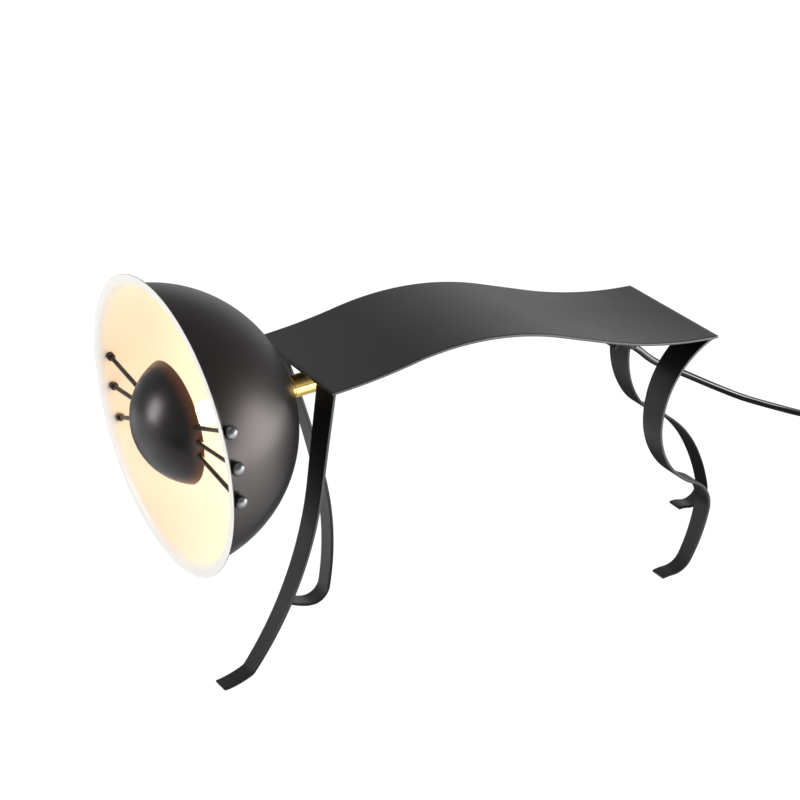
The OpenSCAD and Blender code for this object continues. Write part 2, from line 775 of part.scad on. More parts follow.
module saddle() {
    saddle_top = cord_radius + cord_space + overlap;
    difference() {
        union() {
            circle(cord_radius + clip_sheet);
            translate([-saddle_top, -cord_radius - clip_sheet - clip_foot])
                square([clip_sheet + overlap, 2 * (cord_radius + clip_sheet + clip_foot)]);
            translate([-saddle_top, -cord_radius - clip_sheet])
                square([saddle_top, 2 * (cord_radius + clip_sheet)]);
        }
        circle(cord_radius);
        translate([-2 * cord_d, -cord_radius])
            square([2 * cord_d, cord_d]);
    }
}

module cord_clips() {
    clip_bend = clip_length * back_rate * back_radius / (back_radius - cord_below);
    clip_place = arc_end(cord_b, first_clip, clip_bend * first_clip / clip_length);
    color("gray")
        difference() {
            union() {
                bend_sweep(clip_place, clip_length, clip_bend)
                    saddle();
                bend_sweep(arc_end(cord_c, second_clip, 0), clip_length, 0)
                    saddle();
            }
            over_plate();
        }
}

module body_cord() {
    color("black")
        tube([for (q = way_points(cord_start, body_runs, body_bends)) [q.x, cord_side(q.x), q.y]],
            cord_d, 12);
}

module cord_anchor() {
    tab = anchor_hole + anchor_below;
    color("gray")
        difference() {
            union() {
                strip(arc_end(anchor_top, -tab, 0), [tab, anchor_run, anchor_flange_run],
                    [0, anchor_turn, anchor_flange_bend], -half_sheet, half_sheet, anchor_width);
                strip(anchor_place, [anchor_flange_run], [anchor_flange_bend],
                    -half_sheet - overlap, 0, anchor_width);
            }
            over_plate();
            at_anchor(-bracket_bend)
                cylinder(r = relief_neck, h = 2 * bracket_bend);
        }
}

module at_anchor(ahead) {
    translate([anchor_center.x, 0, anchor_center.y])
        rotate([0, 90 - exit_slope, 0])
            translate([0, 0, ahead])
                children();
}

module strain_relief() {
    color("black")
        difference() {
            union() {
                at_anchor(-relief_front)
                    cylinder(r = relief_head, h = relief_head_sheet);
                at_anchor(-half_sheet - overlap)
                    cylinder(r = relief_neck, h = bracket_sheet + 2 * overlap);
                at_anchor(half_sheet)
                    cylinder(r1 = relief_root, r2 = relief_tip, h = relief_length);
            }
            at_anchor(-relief_length)
                cylinder(r = cord_radius, h = 3 * relief_length);
        }
}

module swivel_fork() {
    groove = turn_range + asin(stop_groove / stop_place);
    slot = tongue / 2 + tongue_clear;
    color("goldenrod")
        head()
            difference() {
                union() {
                    translate([0, 0, -collar_rear])
                        cylinder(r = sleeve_radius, h = collar_rear);
                    intersection() {
                        across(knuckle_radius, 4 * sleeve_radius);
                        translate([0, 0, -fork_root])
                            cylinder(r = sleeve_radius, h = 2 * knuckle_radius);
                    }
                    translate([0, 0, -collar_rear])
                        cylinder(r = collar_radius, h = collar_sheet);
                    translate([0, 0, -stem_end])
                        cylinder(r = stem_radius, h = stem_end - collar_rear + past);
                }
                translate([-2 * sleeve_radius, -slot, slot_floor - knuckle_radius])
                    cube([4 * sleeve_radius, 2 * slot, 4 * sleeve_radius]);
                across(pin_radius, 4 * sleeve_radius);
                translate([0, 0, -stem_end - past])
                    cylinder(r = stem_bore, h = stem_end + past - stem_solid);
                translate([0, 0, -collar_rear - past])
                    rotate([0, 0, 180 - groove])
                        rotate_extrude(angle = 2 * groove)
                            translate([stop_place - stop_groove, 0])
                                square([2 * stop_groove, stop_depth + past]);
            }
}

module swivel_pin() {
    pin_half = sleeve_radius - past / 2;
    color("darkgoldenrod")
        head()
            difference() {
                across(pin_radius, 2 * pin_half);
                for (side = [-1, 1])
                    translate([0, side * pin_half, 0])
                        cube([4 * pin_radius, pin_slot.x, pin_slot.y], center = true);
            }
}

module swivel_washer() {
    color("silver")
        head()
            translate([0, 0, -nut_front])
                difference() {
                    cylinder(r = washer_radius, h = washer_sheet);
                    translate([0, 0, -past])
                        cylinder(r = stem_radius, h = washer_sheet + 2 * past);
                }
}

module swivel_nut() {
    color("silver")
        head()
            translate([0, 0, -nut_front - nut_sheet])
                difference() {
                    hexagon(nut_flats, nut_sheet);
                    translate([0, 0, -past])
                        cylinder(r = stem_radius, h = nut_sheet + 2 * past);
                }
}

module swivel_tongue() {
    color("goldenrod")
        head()
            difference() {
                union() {
                    difference() {
                        translate([0, 0, hub_back])
                            cylinder(r = sleeve_radius, h = hub_front - hub_back);
                        across(knuckle_radius + knuckle_clear, 4 * sleeve_radius);
                    }
                    across(eye_radius, tongue);
                    translate([-eye_radius, -tongue / 2, 0])
                        cube([2 * eye_radius, tongue, knuckle_radius + knuckle_clear + past]);
                }
                across(pin_radius + running_clear, 4 * sleeve_radius);
                translate([0, 0, hub_front - nipple_depth])
                    cylinder(r = stem_radius, h = 2 * nipple_depth);
                rotate_extrude()
                    translate([sleeve_radius - groove_depth, groove_at])
                        square([groove_depth + past, groove_width]);
            }
}

module shade_washer() {
    color("silver")
        head()
            difference() {
                translate([0, 0, hub_front])
                    cylinder(r = shade_washer_radius, h = 2 * shade_washer_sheet);
                bowl_ball(shade_radius);
                cylinder(r = stem_radius, h = rim);
            }
}

module shade_bowl() {
    color("dimgray")
        head()
            difference() {
                union() {
                    intersection() {
                        bowl_ball(shade_radius);
                        cylinder(r = 2 * shade_radius, h = rim);
                    }
                    translate([0, 0, flare_back])
                        cylinder(r1 = flare_root, r2 = flare_root + lip_flare, h = lip_flare);
                    translate([0, 0, rim - lip_sheet])
                        cylinder(r = lip_radius, h = lip_sheet);
                }
                bowl_ball(shade_inner);
                translate([0, 0, flare_back])
                    cylinder(r1 = flare_inside, r2 = flare_inside + flare_cut, h = flare_cut);
                cylinder(r = stem_radius + hole_clear, h = rim / 2);
                each_whisker()
                    rod(shade_radius / 2, 2 * shade_radius, rod_hole);
            }
}

module shade_nipple() {
    start = hub_front - nipple_depth;
    color("silver")
        head()
            translate([0, 0, start])
                difference() {
                    cylinder(r = stem_radius, h = holder_back + nipple_in_holder - start);
                    translate([0, 0, -past])
                        cylinder(r = stem_bore, h = rim);
                }
}

module shade_nut() {
    color("silver")
        head()
            difference() {
                intersection() {
                    translate([0, 0, pivot_gap])
                        hexagon(nut_flats, shade_sheet + shade_nut_sheet);
                    bowl_ball(shade_inner);
                }
                cylinder(r = stem_radius, h = rim);
            }
}

module lamp_holder() {
    color("white")
        head()
            difference() {
                translate([0, 0, holder_back])
                    cylinder(d = holder_d, h = holder_length);
                translate([0, 0, holder_back - past])
                    cylinder(r = stem_radius, h = nipple_in_holder + 2 * past);
                translate([-foot_width / 2, -foot_sheet / 2, foot_back])
                    cube([foot_width, foot_sheet, 2 * foot_depth]);
            }
}

module bulb_foot() {
    color("white")
        head()
            translate([-foot_width / 2, -foot_sheet / 2, foot_back])
                cube([foot_width, foot_sheet, foot_front - foot_back]);
}

module bulb_envelope() {
    color("white")
        head() {
            translate([0, 0, foot_front])
                cylinder(d = bulb_d, h = bulb_length - bulb_d / 2);
            translate([0, 0, foot_front + bulb_length - bulb_d / 2])
                intersection() {
                    sphere(d = bulb_d);
                    cylinder(d = 2 * bulb_d, h = bulb_d);
                }
        }
}

module nose_dome() {
    color("dimgray")
        head()
            difference() {
                intersection() {
                    nose_ball(nose_radius);
                    translate([0, 0, rim - nose_edge])
                        cylinder(r = 2 * nose_radius, h = 2 * nose_radius);
                }
                nose_ball(nose_inner);
                each_whisker()
                    rod(rod_at_nose - nose_edge, rod_at_nose + nose_edge, rod_hole);
            }
}

module whisker_rods() {
    color("black")
        head()
            each_whisker()
                rod(rod_at_nose - rod_inside, rod_at_bowl + cap_neck + rod_in_cap, rod_d / 2);
}

module cap_nut() {
    rod(rod_at_inner - past, rod_at_bowl + cap_neck, cap_neck_d / 2);
    translate([0, 0, rod_at_bowl + cap_neck])
        intersection() {
            cylinder(d = cap_d, h = cap_height);
            translate([0, 0, cap_height - cap_ball])
                sphere(cap_ball);
        }
}

module whisker_cap_nuts() {
    color("silver")
        head()
            difference() {
                each_whisker()
                    cap_nut();
                bowl_ball(shade_radius);
                each_whisker()
                    rod(rod_at_inner - cap_d, rod_at_bowl + cap_neck + rod_in_cap, rod_d / 2);
            }
}

module whisker_collars() {
    color("black")
        head()
            difference() {
                intersection() {
                    each_whisker()
                        rod(rod_at_inner - collar_length, rod_at_bowl, collar_d / 2);
                    bowl_ball(shade_inner);
                }
                each_whisker()
                    rod(rod_at_inner - 2 * collar_length, rod_at_bowl, rod_d / 2);
            }
}

module dome_nuts() {
    color("silver")
        head()
            difference() {
                intersection() {
                    each_whisker()
                        translate([0, 0, rod_at_nose - dome_nut_length])
                            hexagon(dome_nut_flats, 2 * dome_nut_length);
                    nose_ball(nose_inner);
                }
                each_whisker()
                    rod(rod_at_nose - nose_edge, rod_at_nose + nose_edge, rod_d / 2);
            }
}

module cord_run() {
    color("black")
        tube(run_curve, cord_d, 10);
}

module cord_link() {
    color("black")
        tube(link_curve, cord_d, 10);
}

module cord_coil() {
    color("black")
        tube(coil_points, cord_d, 6);
}

module cord_tie() {
    room = cord_radius + tie_room;
    inside = coil_outer - coil_inner + coil_pitch / 4 + 2 * room;
    tall = coil_pitch + cord_d + overlap;
    color("black")
        translate([coil_x, coil_y + coil_inner - coil_pitch / 4 - room, 0])
            rotate([90, 0, 90])
                translate([0, 0, -tie_width / 2])
                    linear_extrude(tie_width)
                        difference() {
                            translate([-tie_sheet, 0])
                                square([inside + 2 * tie_sheet, tall + 2 * tie_sheet]);
                            translate([0, tie_sheet])
                                square([inside, tall]);
                        }
}

module at_switch(z) {
    translate([switch_x, switch_y, z])
        children();
}

module switch_base() {
    color("black")
        at_switch(0)
            linear_extrude(switch_base_height)
                rounded(switch_width, switch_length, switch_corner);
}

module switch_cover() {
    pocket = [rocker_width + 2 * rocker_clear, 2 * (rocker_radius + rocker_clear)];
    color("black")
        at_switch(switch_base_height)
            difference() {
                linear_extrude(switch_cover_height)
                    rounded(switch_width, switch_length, switch_corner);
                translate([-pocket.x / 2, -pocket.y / 2, pocket_floor])
                    cube([pocket.x, pocket.y, switch_cover_height]);
                translate([0, 0, switch_cover_height - rocker_top])
                    rotate([0, 90, 0])
                        cylinder(r = trunnion + running_clear, h = trunnion_room, center = true);
            }
}

module switch_rocker() {
    wide = rocker_radius + past;
    color("black")
        at_switch(rocker_axis) {
            intersection() {
                rotate([0, 90, 0])
                    cylinder(r = rocker_radius, h = rocker_width, center = true);
                translate([-rocker_width / 2 - past, 0, 0])
                    rotate([90, 0, 90])
                        linear_extrude(rocker_width + 2 * past)
                            polygon([[0, rocker_top], [-wide, rocker_top + wide * tan(rocker_angle)],
                                [-wide, -rocker_low], [wide, -rocker_low], [wide, rocker_top]]);
            }
            rotate([0, 90, 0])
                cylinder(r = trunnion, h = 2 * trunnion_reach, center = true);
        }
}

module at_plug() {
    translate([coil_end.x - coil_tail, coil_end.y, 0])
        rotate([0, 0, 90])
            children();
}

module plug_body() {
    half = plug_width / 2;
    color("black")
        at_plug()
            linear_extrude(2 * coil_high)
                polygon([[-plug_neck, 0], [plug_neck, 0], [half, plug_shoulder], [half, plug_length],
                    [-half, plug_length], [-half, plug_shoulder]]);
}

module plug_pins() {
    color("silver")
        at_plug()
            for (side = [-1, 1])
                translate([side * plug_spacing / 2, plug_length, coil_high])
                    rotate([-90, 0, 0]) {
                        cylinder(d = plug_pin_d, h = plug_pin_length - plug_pin_d / 2);
                        translate([0, 0, plug_pin_length - plug_pin_d / 2])
                            sphere(d = plug_pin_d);
                    }
}

back_plate();
front_left_leg();
front_right_leg();
rear_left_leg();
rear_right_leg();
swivel_bracket();
turn_stop_pin();
cord_clips();
body_cord();
cord_anchor();
strain_relief();
swivel_fork();
swivel_pin();
swivel_washer();
swivel_nut();
swivel_tongue();
shade_washer();
shade_bowl();
shade_nipple();
shade_nut();
lamp_holder();
bulb_foot();
bulb_envelope();
nose_dome();
whisker_rods();
whisker_cap_nuts();
whisker_collars();
dome_nuts();
cord_run();
switch_base();
switch_cover();
switch_rocker();
cord_link();
cord_coil();
cord_tie();
plug_body();
plug_pins();
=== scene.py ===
# Cat table lamp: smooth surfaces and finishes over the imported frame.
# Settings in millimetres and degrees, the scene in metres; Z up, the table at z = 0, the head towards -X.
import math

import bpy
import numpy as np
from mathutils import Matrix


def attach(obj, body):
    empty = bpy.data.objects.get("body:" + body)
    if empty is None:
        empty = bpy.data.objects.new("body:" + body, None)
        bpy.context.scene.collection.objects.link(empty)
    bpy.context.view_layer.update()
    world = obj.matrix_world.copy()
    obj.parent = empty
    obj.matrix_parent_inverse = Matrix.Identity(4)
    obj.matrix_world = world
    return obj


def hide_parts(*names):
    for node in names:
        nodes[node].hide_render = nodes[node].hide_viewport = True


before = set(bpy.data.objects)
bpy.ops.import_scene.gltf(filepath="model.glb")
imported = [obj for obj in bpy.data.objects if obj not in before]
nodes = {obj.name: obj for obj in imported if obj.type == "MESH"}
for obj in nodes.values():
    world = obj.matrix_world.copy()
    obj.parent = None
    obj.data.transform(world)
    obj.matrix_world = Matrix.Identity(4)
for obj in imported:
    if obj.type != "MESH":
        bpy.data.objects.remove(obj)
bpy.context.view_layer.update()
print("frame loaded,", len(nodes), "nodes")

mm = 0.001

# Camera
viewpoint = {
    "place": (-0.8457, -1.4841, 0.8675),  # metres
    "turn": -28.4,  # about Z, from looking along +Y
    "dip": 22.99,  # below level
    "lens": 124.56,
    "sensor": 36,
}

camera = bpy.data.objects.new("camera", bpy.data.cameras.new("camera"))
bpy.context.collection.objects.link(camera)
camera.location = viewpoint["place"]
camera.rotation_euler = (math.radians(90 - viewpoint["dip"]), 0, math.radians(viewpoint["turn"]))
camera.data.lens = viewpoint["lens"]
camera.data.sensor_width = viewpoint["sensor"]
bpy.context.scene.camera = camera
print("camera set")


# Quads over a grid of rows and columns; columns always join up, rows only where asked, and open ends get a cap
def gridFaces(rows, cols, joinRows):
    row = np.arange(rows if joinRows else rows - 1)[:, None]
    col = np.arange(cols)[None, :]
    nextRow = (row + 1) % rows
    nextCol = (col + 1) % cols
    corners = [row * cols + col, row * cols + nextCol, nextRow * cols + nextCol, nextRow * cols + col]
    quads = np.stack(np.broadcast_arrays(*corners), axis=-1).reshape(-1, 4)
    caps = [] if joinRows else [np.arange(cols)[::-1], np.arange(cols) + (rows - 1) * cols]
    return quads, caps


# Six times a closed grid's volume, as the sum of its faces' wedges to the middle
def wedgeSum(points, quads):
    a, b, c, d = (points[quads[:, k]] - points.mean(axis=0) for k in range(4))
    return np.sum(a * np.cross(b, c)) + np.sum(a * np.cross(c, d))


# One piece from closed grids of points in millimetres, each with its faces outwards
def makePiece(name, grids, body, joinRows=False):
    points, faces, first = [], [], 0
    for grid in grids:
        shell = grid.reshape(-1, 3) * mm
        quads, caps = gridFaces(*grid.shape[:2], joinRows)
        order = slice(None) if wedgeSum(shell, quads) > 0 else slice(None, None, -1)
        faces += (quads[:, order] + first).tolist() + [(cap[order] + first).tolist() for cap in caps]
        points.append(shell)
        first += len(shell)
    mesh = bpy.data.meshes.new(name)
    mesh.from_pydata(np.vstack(points).tolist(), [], faces)
    mesh.shade_smooth()
    piece = bpy.data.objects.new(name, mesh)
    bpy.context.collection.objects.link(piece)
    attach(piece, body)
    return piece


# Smooth curve through given points: each span is a cubic set by its two points and their neighbours
def smoothCurve(points, step):
    p = np.array(points, float)
    before = np.vstack([p[:1], p[:-2]])
    after = np.vstack([p[2:], p[-1:]])
    spans = []
    for a, b, c, d in zip(before, p[:-1], p[1:], after):
        t = np.linspace(0, 1, max(2, int(np.linalg.norm(c - b) / step)), endpoint=False)[:, None]
        spans.append((2 * b + (c - a) * t + (2 * a - 5 * b + 4 * c - d) * t**2
                      + (3 * b - a - 3 * c + d) * t**3) / 2)
    return np.vstack(spans + [p[-1:]])


# Round tube: rings of cos and sin across the path's own direction, level sideways
def tubeGrid(path, radius, sides):
    way = np.gradient(path, axis=0)
    way /= np.linalg.norm(way, axis=1, keepdims=True)
    side = np.cross(way, [0, 0, 1])
    side /= np.linalg.norm(side, axis=1, keepdims=True)
    over = np.cross(side, way)
    angle = np.linspace(0, 2 * math.pi, sides, endpoint=False)[None, :, None]
    return path[:, None] + radius * (np.cos(angle) * side[:, None] + np.sin(angle) * over[:, None])


# Places on an arc, at parts t of it: the heading turns evenly and x and z are its integrals
def arcPlaces(place, run, bend, t):
    x, z, heading = place
    start = math.radians(heading)
    if bend == 0:
        return np.stack([x + run * t * math.cos(start), z + run * t * math.sin(start), heading + 0 * t], axis=-1)
    radius = run / math.radians(bend)
    now = start + np.radians(bend * t)
    return np.stack([x + radius * (np.sin(now) - math.sin(start)),
                     z + radius * (math.cos(start) - np.cos(now)), heading + bend * t], axis=-1)


def arcEnd(place, run, bend=0):
    return arcPlaces(place, run, bend, np.array([1.0]))[0]


# A way of arcs laid end to end, with a place about every step
def bentWay(place, runs, bends, step):
    parts = []
    for run, bend in zip(runs, bends):
        count = max(2, int(run / step))
        parts.append(arcPlaces(place, run, bend, np.linspace(0, 1, count, endpoint=False)))
        place = arcEnd(place, run, bend)
    return np.vstack(parts + [place[None]])


def placeAlong(place, runs, bends, distance):
    for run, bend in zip(runs, bends):
        if distance <= run:
            return arcEnd(place, distance, bend * distance / run)
        place = arcEnd(place, run, bend)
        distance -= run
    return place


# Steps aside from a place, to the right of its heading
def rightOf(place, aside):
    heading = math.radians(place[2])
    return np.array([place[0] + aside * math.sin(heading), place[1] - aside * math.cos(heading), place[2]])


# Two arcs that join two places without a kink, meeting where both reach equally far
def twoArcs(a, b):
    wayA = np.array([math.cos(math.radians(a[2])), math.sin(math.radians(a[2]))])
    wayB = np.array([math.cos(math.radians(b[2])), math.sin(math.radians(b[2]))])
    gap = b[:2] - a[:2]
    along = gap @ (wayA + wayB)
    apart = 1 - wayA @ wayB
    reach = (math.sqrt(along**2 + 2 * apart * (gap @ gap)) - along) / (2 * apart)
    middle = (a[:2] + reach * wayA + b[:2] - reach * wayB) / 2
    first, second = middle - a[:2], b[:2] - middle
    bendA = 2 * (math.degrees(math.atan2(first[1], first[0])) - a[2])
    bendB = 2 * (b[2] - math.degrees(math.atan2(second[1], second[0])))
    chords = [(first, bendA), (second, bendB)]
    runs = [np.linalg.norm(c) * math.radians(bend) / 2 / math.sin(math.radians(bend / 2)) for c, bend in chords]
    return runs, [bendA, bendB]


# Smooth step from 0 to 1
def ease(t):
    t = np.clip(t, 0, 1)
    return t * t * (3 - 2 * t)


# Form turned about an axis: a profile of distance and radius swung round it
def turnedGrid(profile, start, axis, across, over, sides):
    angle = np.linspace(0, 2 * math.pi, sides, endpoint=False)
    distance, radius = profile[:, :1, None], profile[:, 1:, None]
    ring = np.cos(angle)[None, :, None] * across + np.sin(angle)[None, :, None] * over
    return start + distance * axis + radius * ring


# Part of a circle in a profile, by its centre, radius and the angle from straight back
def profileArc(centre, radius, start, end, count):
    angle = np.radians(np.linspace(start, end, count))
    return np.stack([centre[0] - radius * np.cos(angle), centre[1] + radius * np.sin(angle)], axis=-1)


# Curve between two profile points that leaves and arrives along lines through a third
def profileBlend(start, corner, end, count):
    t = np.linspace(0, 1, count)[:, None]
    start, corner, end = (np.array(v, float) for v in (start, corner, end))
    return start * (1 - t)**2 + corner * 2 * t * (1 - t) + end * t**2


# Cord: out of the strain relief, down to the table, through the switch, into a coil and the plug
cord = {
    "diameter": 5,
    "length": 1.785,  # metres
    "exit": (139.002, 0, 155.983),
    "slope": -38,
    "leadIn": 7,
    "step": 2.5,
    "sides": 20,
    "switch": (478, 46, 7),
    "switchLength": 64,
    "switchDip": 2.8,  # inside the switch, under the rocker
    "dipShare": 0.25,  # of the switch, at each end
    "coilY": -80,
    "coilInner": 21.4,
    "coilPitch": 5.5,
    "coilTurns": 3,
    "coilEnd": 0.25,  # of a turn, before the tail
    "turnPoints": 72,
    "coilLow": 3.5,
    "coilIn": 6,
    "tail": 70,
}

exitWay = np.array([math.cos(math.radians(cord["slope"])), 0, math.sin(math.radians(cord["slope"]))])
exitPoint = np.array(cord["exit"])
switchX, switchY, switchZ = cord["switch"]
switchFar = switchY + cord["switchLength"] / 2
switchNear = switchY - cord["switchLength"] / 2
coilOuter = cord["coilInner"] + cord["coilPitch"] * cord["coilTurns"]
coilX, coilY = switchX - coilOuter, cord["coilY"]
coilStart = coilY + cord["coilIn"]

runPoints = [
    exitPoint,
    exitPoint + cord["leadIn"] * exitWay,
    (160, 2, 139),
    (190, 9, 121.5),
    (224, 20, 101),
    (256, 33, 82),
    (283, 46, 67),
    (313, 60, 51),
    (344, 76, 34.5),
    (374, 91, 20),
    (404, 104.5, 9),
    (430, 115, 3.6),
    (447, 117.5, 2.6),
    (463, 113, 2.6),
    (474, 101, 3.6),
    (478, 90, 6),
    (switchX, switchFar + cord["leadIn"], switchZ),
    (switchX, switchFar, switchZ),
]
linkPoints = [
    (switchX, switchNear, switchZ),
    (switchX, switchNear - cord["leadIn"], switchZ),
    (switchX, coilStart + cord["leadIn"], cord["coilLow"]),
    (switchX, coilStart, cord["coilLow"]),
]


# Coil seen from above: the radius falls a pitch each turn, climbs a layer, then grows a pitch each turn
def coilWay():
    turns, pitch, inner, perTurn = cord["coilTurns"], cord["coilPitch"], cord["coilInner"], cord["turnPoints"]
    t = np.arange(0, (2 * turns + cord["coilEnd"]) * perTurn + 1) / perTurn
    climb = np.clip((t - turns) * 2, 0, 1)
    radius = np.where(t <= turns, coilOuter - pitch * t, inner + pitch * (t - turns - 0.5))
    radius = np.where((climb > 0) & (climb < 1), inner - pitch / 4 * (1 - np.abs(1 - 2 * climb)), radius)
    angle = -2 * math.pi * t
    return np.stack([coilX + radius * np.cos(angle), coilY + radius * np.sin(angle),
                     cord["coilLow"] + pitch * ease(climb)], axis=-1)


coilPath = coilWay()
plugPlace = coilPath[-1] - [cord["tail"], 0, 0]
inside = np.linspace(0, 1, int(cord["switchLength"] / cord["step"]) + 2)[1:-1]
dip = ease(np.minimum(inside, 1 - inside) / cord["dipShare"])
insidePath = np.column_stack([0 * inside + switchX, switchFar - cord["switchLength"] * inside,
                              switchZ - cord["switchDip"] * dip])
cordPath = np.vstack([
    smoothCurve(runPoints, cord["step"]),
    insidePath,
    smoothCurve(linkPoints, cord["step"]),
    coilPath,
    np.linspace(coilPath[-1], plugPlace, int(cord["tail"] / cord["step"]))[1:],
])
cordPiece = makePiece("cord", [tubeGrid(cordPath, cord["diameter"] / 2, cord["sides"])], "stand")
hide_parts("cord_run", "cord_link", "cord_coil")
print("cord laid,", round(float(np.linalg.norm(np.diff(cordPath, axis=0), axis=1).sum())), "mm")

# Tie: a flat band round the coil's turns, a rounded loop carried across its width
tie = {
    "room": 0.8,
    "spare": 0.3,  # above the two layers
    "sheet": 1,
    "width": 9,
    "corner": 3,
    "cornerPoints": 7,
    "edge": 0.3,  # rounding
}


# Band: a closed rounded-rectangle loop, inner and outer walls a sheet apart, drawn out along X
def tieGrid():
    corner, sheet, half = tie["corner"], tie["sheet"], tie["width"] / 2
    room = cord["diameter"] / 2 + tie["room"]
    nearY = coilY + cord["coilInner"] - cord["coilPitch"] / 4 - room
    boxY = (coilY + coilOuter + room - nearY) / 2
    boxZ = (cord["coilPitch"] + cord["diameter"] + tie["spare"]) / 2
    turn = np.radians(np.linspace(0, 90, tie["cornerPoints"]))
    loop = []
    for k, (sideY, sideZ) in enumerate([(1, 1), (-1, 1), (-1, -1), (1, -1)]):
        angle = turn + k * math.pi / 2
        loop.append(np.stack([nearY + boxY + sideY * (boxY - corner) + 0 * angle,
                              sheet + boxZ + sideZ * (boxZ - corner) + 0 * angle,
                              np.cos(angle), np.sin(angle)], axis=-1))
    loop = np.vstack(loop)
    walls = [(corner, -half), (corner, half), (corner + sheet, half), (corner + sheet, -half)]
    return np.stack([np.column_stack([np.full(len(loop), coilX + x), loop[:, :2] + radius * loop[:, 2:]])
                     for radius, x in walls])


tiePiece = makePiece("cordTie", [tieGrid()], "stand", joinRows=True)
tiePiece.modifiers.new("edges", "BEVEL").width = tie["edge"] * mm
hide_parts("cord_tie")

# Switch: a base and a cover with soft edges and a seam between them, and a rocker in the cover's pocket
switch = {
    "width": 26,
    "corner": 8,
    "seam": 7,
    "top": 16,
    "foot": 0.8,  # rounding
    "lip": 0.35,  # rounding beside the seam
    "crown": 2.6,  # rounding of the cover's top
    "pocket": (12.6, 20),
    "pocketCorner": 1.0,
    "pocketRim": [(0.7, 0), (0.5, 0), (0.1, 0.15), (0, 0.5)],  # how far it opens, and how deep
    "pocketFloor": 7.8,
    "rockerWidth": 12,
    "rockerRadius": 9.7,
    "rockerTop": 2.5,  # above its axis
    "rockerLow": 3,
    "rockerAngle": 14,
    "rockerEdge": 0.7,
    "rockerSides": 120,
    "rockerSharp": 9,  # higher leaves its corners sharper
}


# Rounded rectangle, inset evenly: four corner arcs about fixed centres
def roundedOutline(width, length, corner, inset=0.0, count=9):
    turn = np.radians(np.linspace(0, 90, count))
    parts = []
    for k, (sideX, sideY) in enumerate([(1, 1), (-1, 1), (-1, -1), (1, -1)]):
        angle = turn + k * math.pi / 2
        parts.append(np.stack([sideX * (width / 2 - corner) + (corner - inset) * np.cos(angle),
                               sideY * (length / 2 - corner) + (corner - inset) * np.sin(angle)], axis=-1))
    return np.vstack(parts)


# Insets and heights round one edge, as a quarter circle
def edgeRound(radius, height, rising, count=5):
    angle = np.radians(np.linspace(0, 90, count))
    inset, step = radius * (1 - np.sin(angle)), radius * (1 - np.cos(angle))
    rows = np.stack([inset, height + step], axis=-1)
    return rows if rising else np.stack([inset, height - step], axis=-1)[::-1]


def stackGrid(outlines, heights):
    return np.stack([np.column_stack([switchX + line[:, 0], switchY + line[:, 1], np.full(len(line), z)])
                     for line, z in zip(outlines, heights)])


def switchOutline(inset):
    return roundedOutline(switch["width"], cord["switchLength"], switch["corner"], inset)


baseRows = np.vstack([edgeRound(switch["foot"], 0, True), edgeRound(switch["lip"], switch["seam"], False)])
basePiece = makePiece("switchBase", [stackGrid([switchOutline(r) for r in baseRows[:, 0]], baseRows[:, 1])],
                      "stand")
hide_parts("switch_base")

coverRows = np.vstack([edgeRound(switch["lip"], switch["seam"], True),
                       edgeRound(switch["crown"], switch["top"], False, count=9)])
pocketRows = [(wider, switch["top"] - deep) for wider, deep in switch["pocketRim"]] + [(0, switch["pocketFloor"])]
coverOutlines = [switchOutline(r) for r in coverRows[:, 0]] + [
    roundedOutline(*switch["pocket"], switch["pocketCorner"], -wider) for wider, z in pocketRows]
coverPiece = makePiece("switchCover", [stackGrid(coverOutlines, [*coverRows[:, 1], *(z for _, z in pocketRows)])],
                       "stand")
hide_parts("switch_cover")


# Rocker seen along its axis: the nearest of a circle and three straight cuts in each direction, softly joined
def rockerGrid():
    angle = np.linspace(0, 2 * math.pi, switch["rockerSides"], endpoint=False)
    slope, sharp = math.radians(switch["rockerAngle"]), switch["rockerSharp"]
    right = np.cos(angle) >= 0
    cuts = [(0.0, 1.0, switch["rockerTop"], right), (0.0, -1.0, switch["rockerLow"], True),
            (math.sin(slope), math.cos(slope), switch["rockerTop"] * math.cos(slope), ~right)]
    far, least = 4 * switch["rockerRadius"], 1e-3
    lengths = [np.full(len(angle), switch["rockerRadius"])]
    for ny, nz, distance, used in cuts:
        toward = ny * np.cos(angle) + nz * np.sin(angle)
        lengths.append(np.where((toward > least) & used, distance / np.maximum(toward, least), far))
    radius = np.sum(np.stack(lengths)**-sharp, axis=0)**(-1 / sharp)
    edge, half = switch["rockerEdge"], switch["rockerWidth"] / 2
    rows = edgeRound(edge, -half, True)
    rows = np.vstack([rows, rows[::-1] * [1, -1]])
    axis = switch["top"] - switch["rockerTop"]
    return np.stack([np.column_stack([np.full(len(angle), switchX + x), switchY + (radius - inset) * np.cos(angle),
                                      axis + (radius - inset) * np.sin(angle)]) for inset, x in rows])


rockerPiece = makePiece("switchRocker", [rockerGrid()], "rocker")
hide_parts("switch_rocker")

# Plug: a flat body with a ribbed neck, drawn out towards -X from the end of the cord
plug = {
    "stations": [  # distance, half width, half height, squareness
        (0, 3.6, 3.6, 2), (1, 4.6, 4.6, 2), (9, 5.6, 5.6, 2), (13, 9.5, 7.2, 2.3), (18, 13.8, 8.6, 2.8),
        (25, 15, 9, 3.2), (35, 15, 9, 3.4), (38.8, 14.8, 8.8, 3.4), (39.7, 14.2, 8.2, 3.4), (40, 13.2, 7.2, 3.4)],
    "ribs": (1.6, 9.6, 1.6),  # from, to, spacing
    "ribDepth": 0.55,
    "step": 0.3,
    "sides": 72,
}


